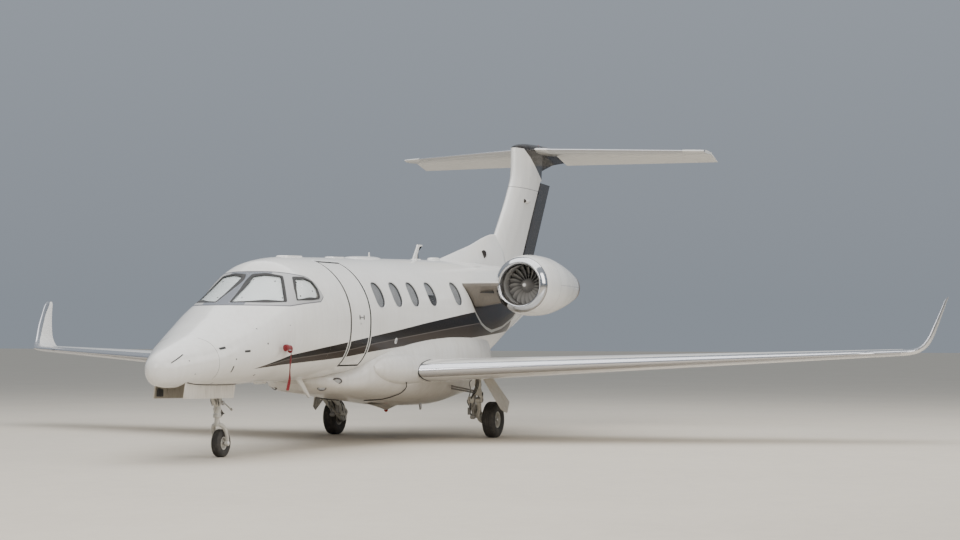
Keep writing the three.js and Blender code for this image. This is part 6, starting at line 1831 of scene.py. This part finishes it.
SLOTS = [((0.86, 1.376), (0.957, 1.393), 0.013), ((1.24, 1.344), (1.341, 1.350), 0.014),
    ((1.084, 1.167), (1.095, 1.087), 0.010), ((0.184, 1.207), (0.377, 1.310), 0.005)]
SPOTS = [(1.548, 1.627, 0.008), (1.671, 1.441, 0.012), (2.182, 1.675, 0.006), (1.098, 1.249, 0.010),
    (0.514, 1.072, 0.006), (1.677, 1.045, 0.012), (0.416, 1.233, 0.007), (1.005, 0.954, 0.008)]
HATCH = np.array([(0.774, 1.509), (0.802, 1.454), (0.811, 1.342), (0.827, 1.217), (0.847, 1.104),
    (0.87, 1.0)])
LANDING_LAMPS = ((4.071, 0.53, 0.16, 0.10), (3.95, 0.365, 0.13, 0.08))    # station, span, length and width
for name, side in SIDES:
    view = from_side(side)
    dark = []
    for start, end, wide in SLOTS:
        start, end = np.array(start), np.array(end)
        along = (end - start) / np.linalg.norm(end - start)
        off = np.array([-along[1], along[0]]) * wide
        ends = np.array([start - off, end - off, end + off, start + off]) + (NOSE_TIP, 0)
        dark.append(pane(filled(rounded(ends, wide * 0.8), 0.02), view, -0.0012, 0.004))
    for x, z, radius in SPOTS:
        dark.append(pane(oval(radius * 2, radius * 2, st(x), z, 1.0, 20), view, -0.0012, 0.003))
    build("nose_vents_" + name, dark, black_seal)
    seam = curved(np.insert(HATCH, 1, side * 1.4, axis=1) + (NOSE_TIP, 0, 0), 40)
    seam = onto(seam, view[1])
    build("radome_seam_" + name, [tube(seam, 0.0022, 8)], gear_shade)
    lamp_ring = onto(view[0](np.array([(st(5.382), 1.48)])), view[1])
    rings = dots(lamp_ring, skin_normal(lamp_ring), 0.043, 0.005, 28)
    build("fuselage_lamp_ring_" + name, rings, rim_paint)
    build("fuselage_lamp_lens_" + name, dots(lamp_ring, skin_normal(lamp_ring), 0.028, 0.009, 24),
        clear_glass)
    lamps, rims = [], []
    for x, y, long, wide in LANDING_LAMPS:
        half, low_face, high_face = (eased(FAIRING[:, 0], FAIRING[:, k], np.array([x]))[0] for k in (1, 2, 3))
        share = np.arccos(np.clip((y / half) ** (1 / 0.72), -1, 1))
        z = (low_face + high_face) / 2 - (high_face - low_face) / 2 * np.sin(share) ** 0.72
        centre = np.array([st(x), side * y, z])
        normal = np.array([-0.62, side * 0.52, -0.58])
        normal /= np.linalg.norm(normal)
        across = np.cross(normal, (0, 0, 1))
        across /= np.linalg.norm(across)
        other = np.cross(normal, across)
        turn = turns(36)[:, None]
        ring = lambda share, lift: (centre + normal * lift + share * (np.cos(turn) * across * long / 2
            + np.sin(turn) * other * wide / 2))
        rims.append(grid([ring(s, d) for s, d in ((1.0, -0.02), (1.0, 0.004), (0.86, 0.007), (0.80, 0.0),
            (0.80, -0.02))], loop=True))
        lamps.append(grid([ring(s, d) for s, d in ((0.82, -0.01), (0.80, 0.001), (0.5, 0.006),
            (0.2, 0.008))]))
    build("landing_lamp_rims_" + name, rims, engine_grey)
    build("landing_lamp_lenses_" + name, lamps, clear_glass)

# The pitot probe each side: a chromed tube on a short mast ahead of the door. A red cloth sleeve is slipped
# over the port one, and a long red streamer of the same cloth hangs from it.
for name, side in SIDES:
    mast = [tube([(st(2.14), side * 0.735, 1.365), (st(2.11), side * 0.79, 1.36),
        (st(2.05), side * 0.825, 1.36)], (0.016, 0.012, 0.010), 14, 0.6), rod((st(2.07), side * 0.826, 1.36),
        (st(1.93), side * 0.812, 1.365), 0.008)]
    build("pitot_probe_" + name, mast, chrome)
red_cloth, tree, shader = material("red_cloth", (0.22, 0.008, 0.014), 0.85, Sheen_Weight=0.12)
weave = texture(tree, "Wave", {"Scale": 180.0, "Distortion": 1.0})
weathered(tree, shader, layer(tree, weave, (0.24, 0.008, 0.015), (0.14, 0.005, 0.009)), (0.20, 0.05, 0.045),
    0.3, 0.8, 9.0, 0.3)
feed(shader, Normal=put(tree, "Bump", {"Height": weave, "Strength": 0.3, "Distance": 0.0008}))
sleeve_line = curved([(st(2.125), -0.785, 1.325), (st(2.11), -0.80, 1.372), (st(2.05), -0.822, 1.392),
    (st(1.98), -0.822, 1.392), (st(1.92), -0.813, 1.385)], 24)
girth = 0.026 + 0.004 * np.sin(np.linspace(0, 9, 24)) + 0.006 * np.linspace(0, 1, 24) ** 2
girth[[0, -1]] = 0.012
sleeve = build("pitot_cover_sleeve", [tube(sleeve_line, girth, 20, 1.25)], red_cloth)
STREAMER_LONG, STREAMER_WIDE = 0.50, 0.04
t = np.linspace(0, 1, 60)
drop = STREAMER_LONG * t
sway = 0.010 * np.sin(t * 7.0) * t
lean = np.array([-0.115 * t ** 1.1, -0.003 - 0.012 * t,
    -np.sqrt(np.maximum(0, drop ** 2 - (0.115 * t ** 1.1) ** 2))])
middle = joined(st(2.105) + lean[0], -0.812 + lean[1] + sway, 1.335 + lean[2])
turn = 0.5 + 1.1 * t + 0.25 * np.sin(t * 9.0)
across = joined(np.cos(turn), np.sin(turn), 0 * t) * STREAMER_WIDE / 2
skin = 0.0008
square = joined(-np.sin(turn), np.cos(turn), 0 * t) * skin / 2
share = np.linspace(-1, 1, 7)[None, :, None]
front = middle[:, None] + across[:, None] * share + square[:, None]
rear = middle[:, None] + across[:, None] * share[:, ::-1] - square[:, None]
streamer = build("pitot_cover_streamer", [grid(np.concatenate([front, rear], 1))], red_cloth,
    sharp=60)

# Static wicks: thin flexible rods that bleed charge off the rear edges of the ailerons, and turn with them.
for name, side in SIDES:
    wicks = []
    for y in (5.3, 6.1, 6.8):
        row = surface_row(side, y)
        tail = row[np.argmax(row[:, 0])]
        wicks.append(tube([tail + (-0.02, 0, 0), tail + (0.02, 0, 0.001), tail + (0.13, 0, -0.004)],
            (0.0045, 0.004, 0.002), 8))
    build("aileron_wicks_" + name, wicks, hose_rubber, "aileron_body_" + name)
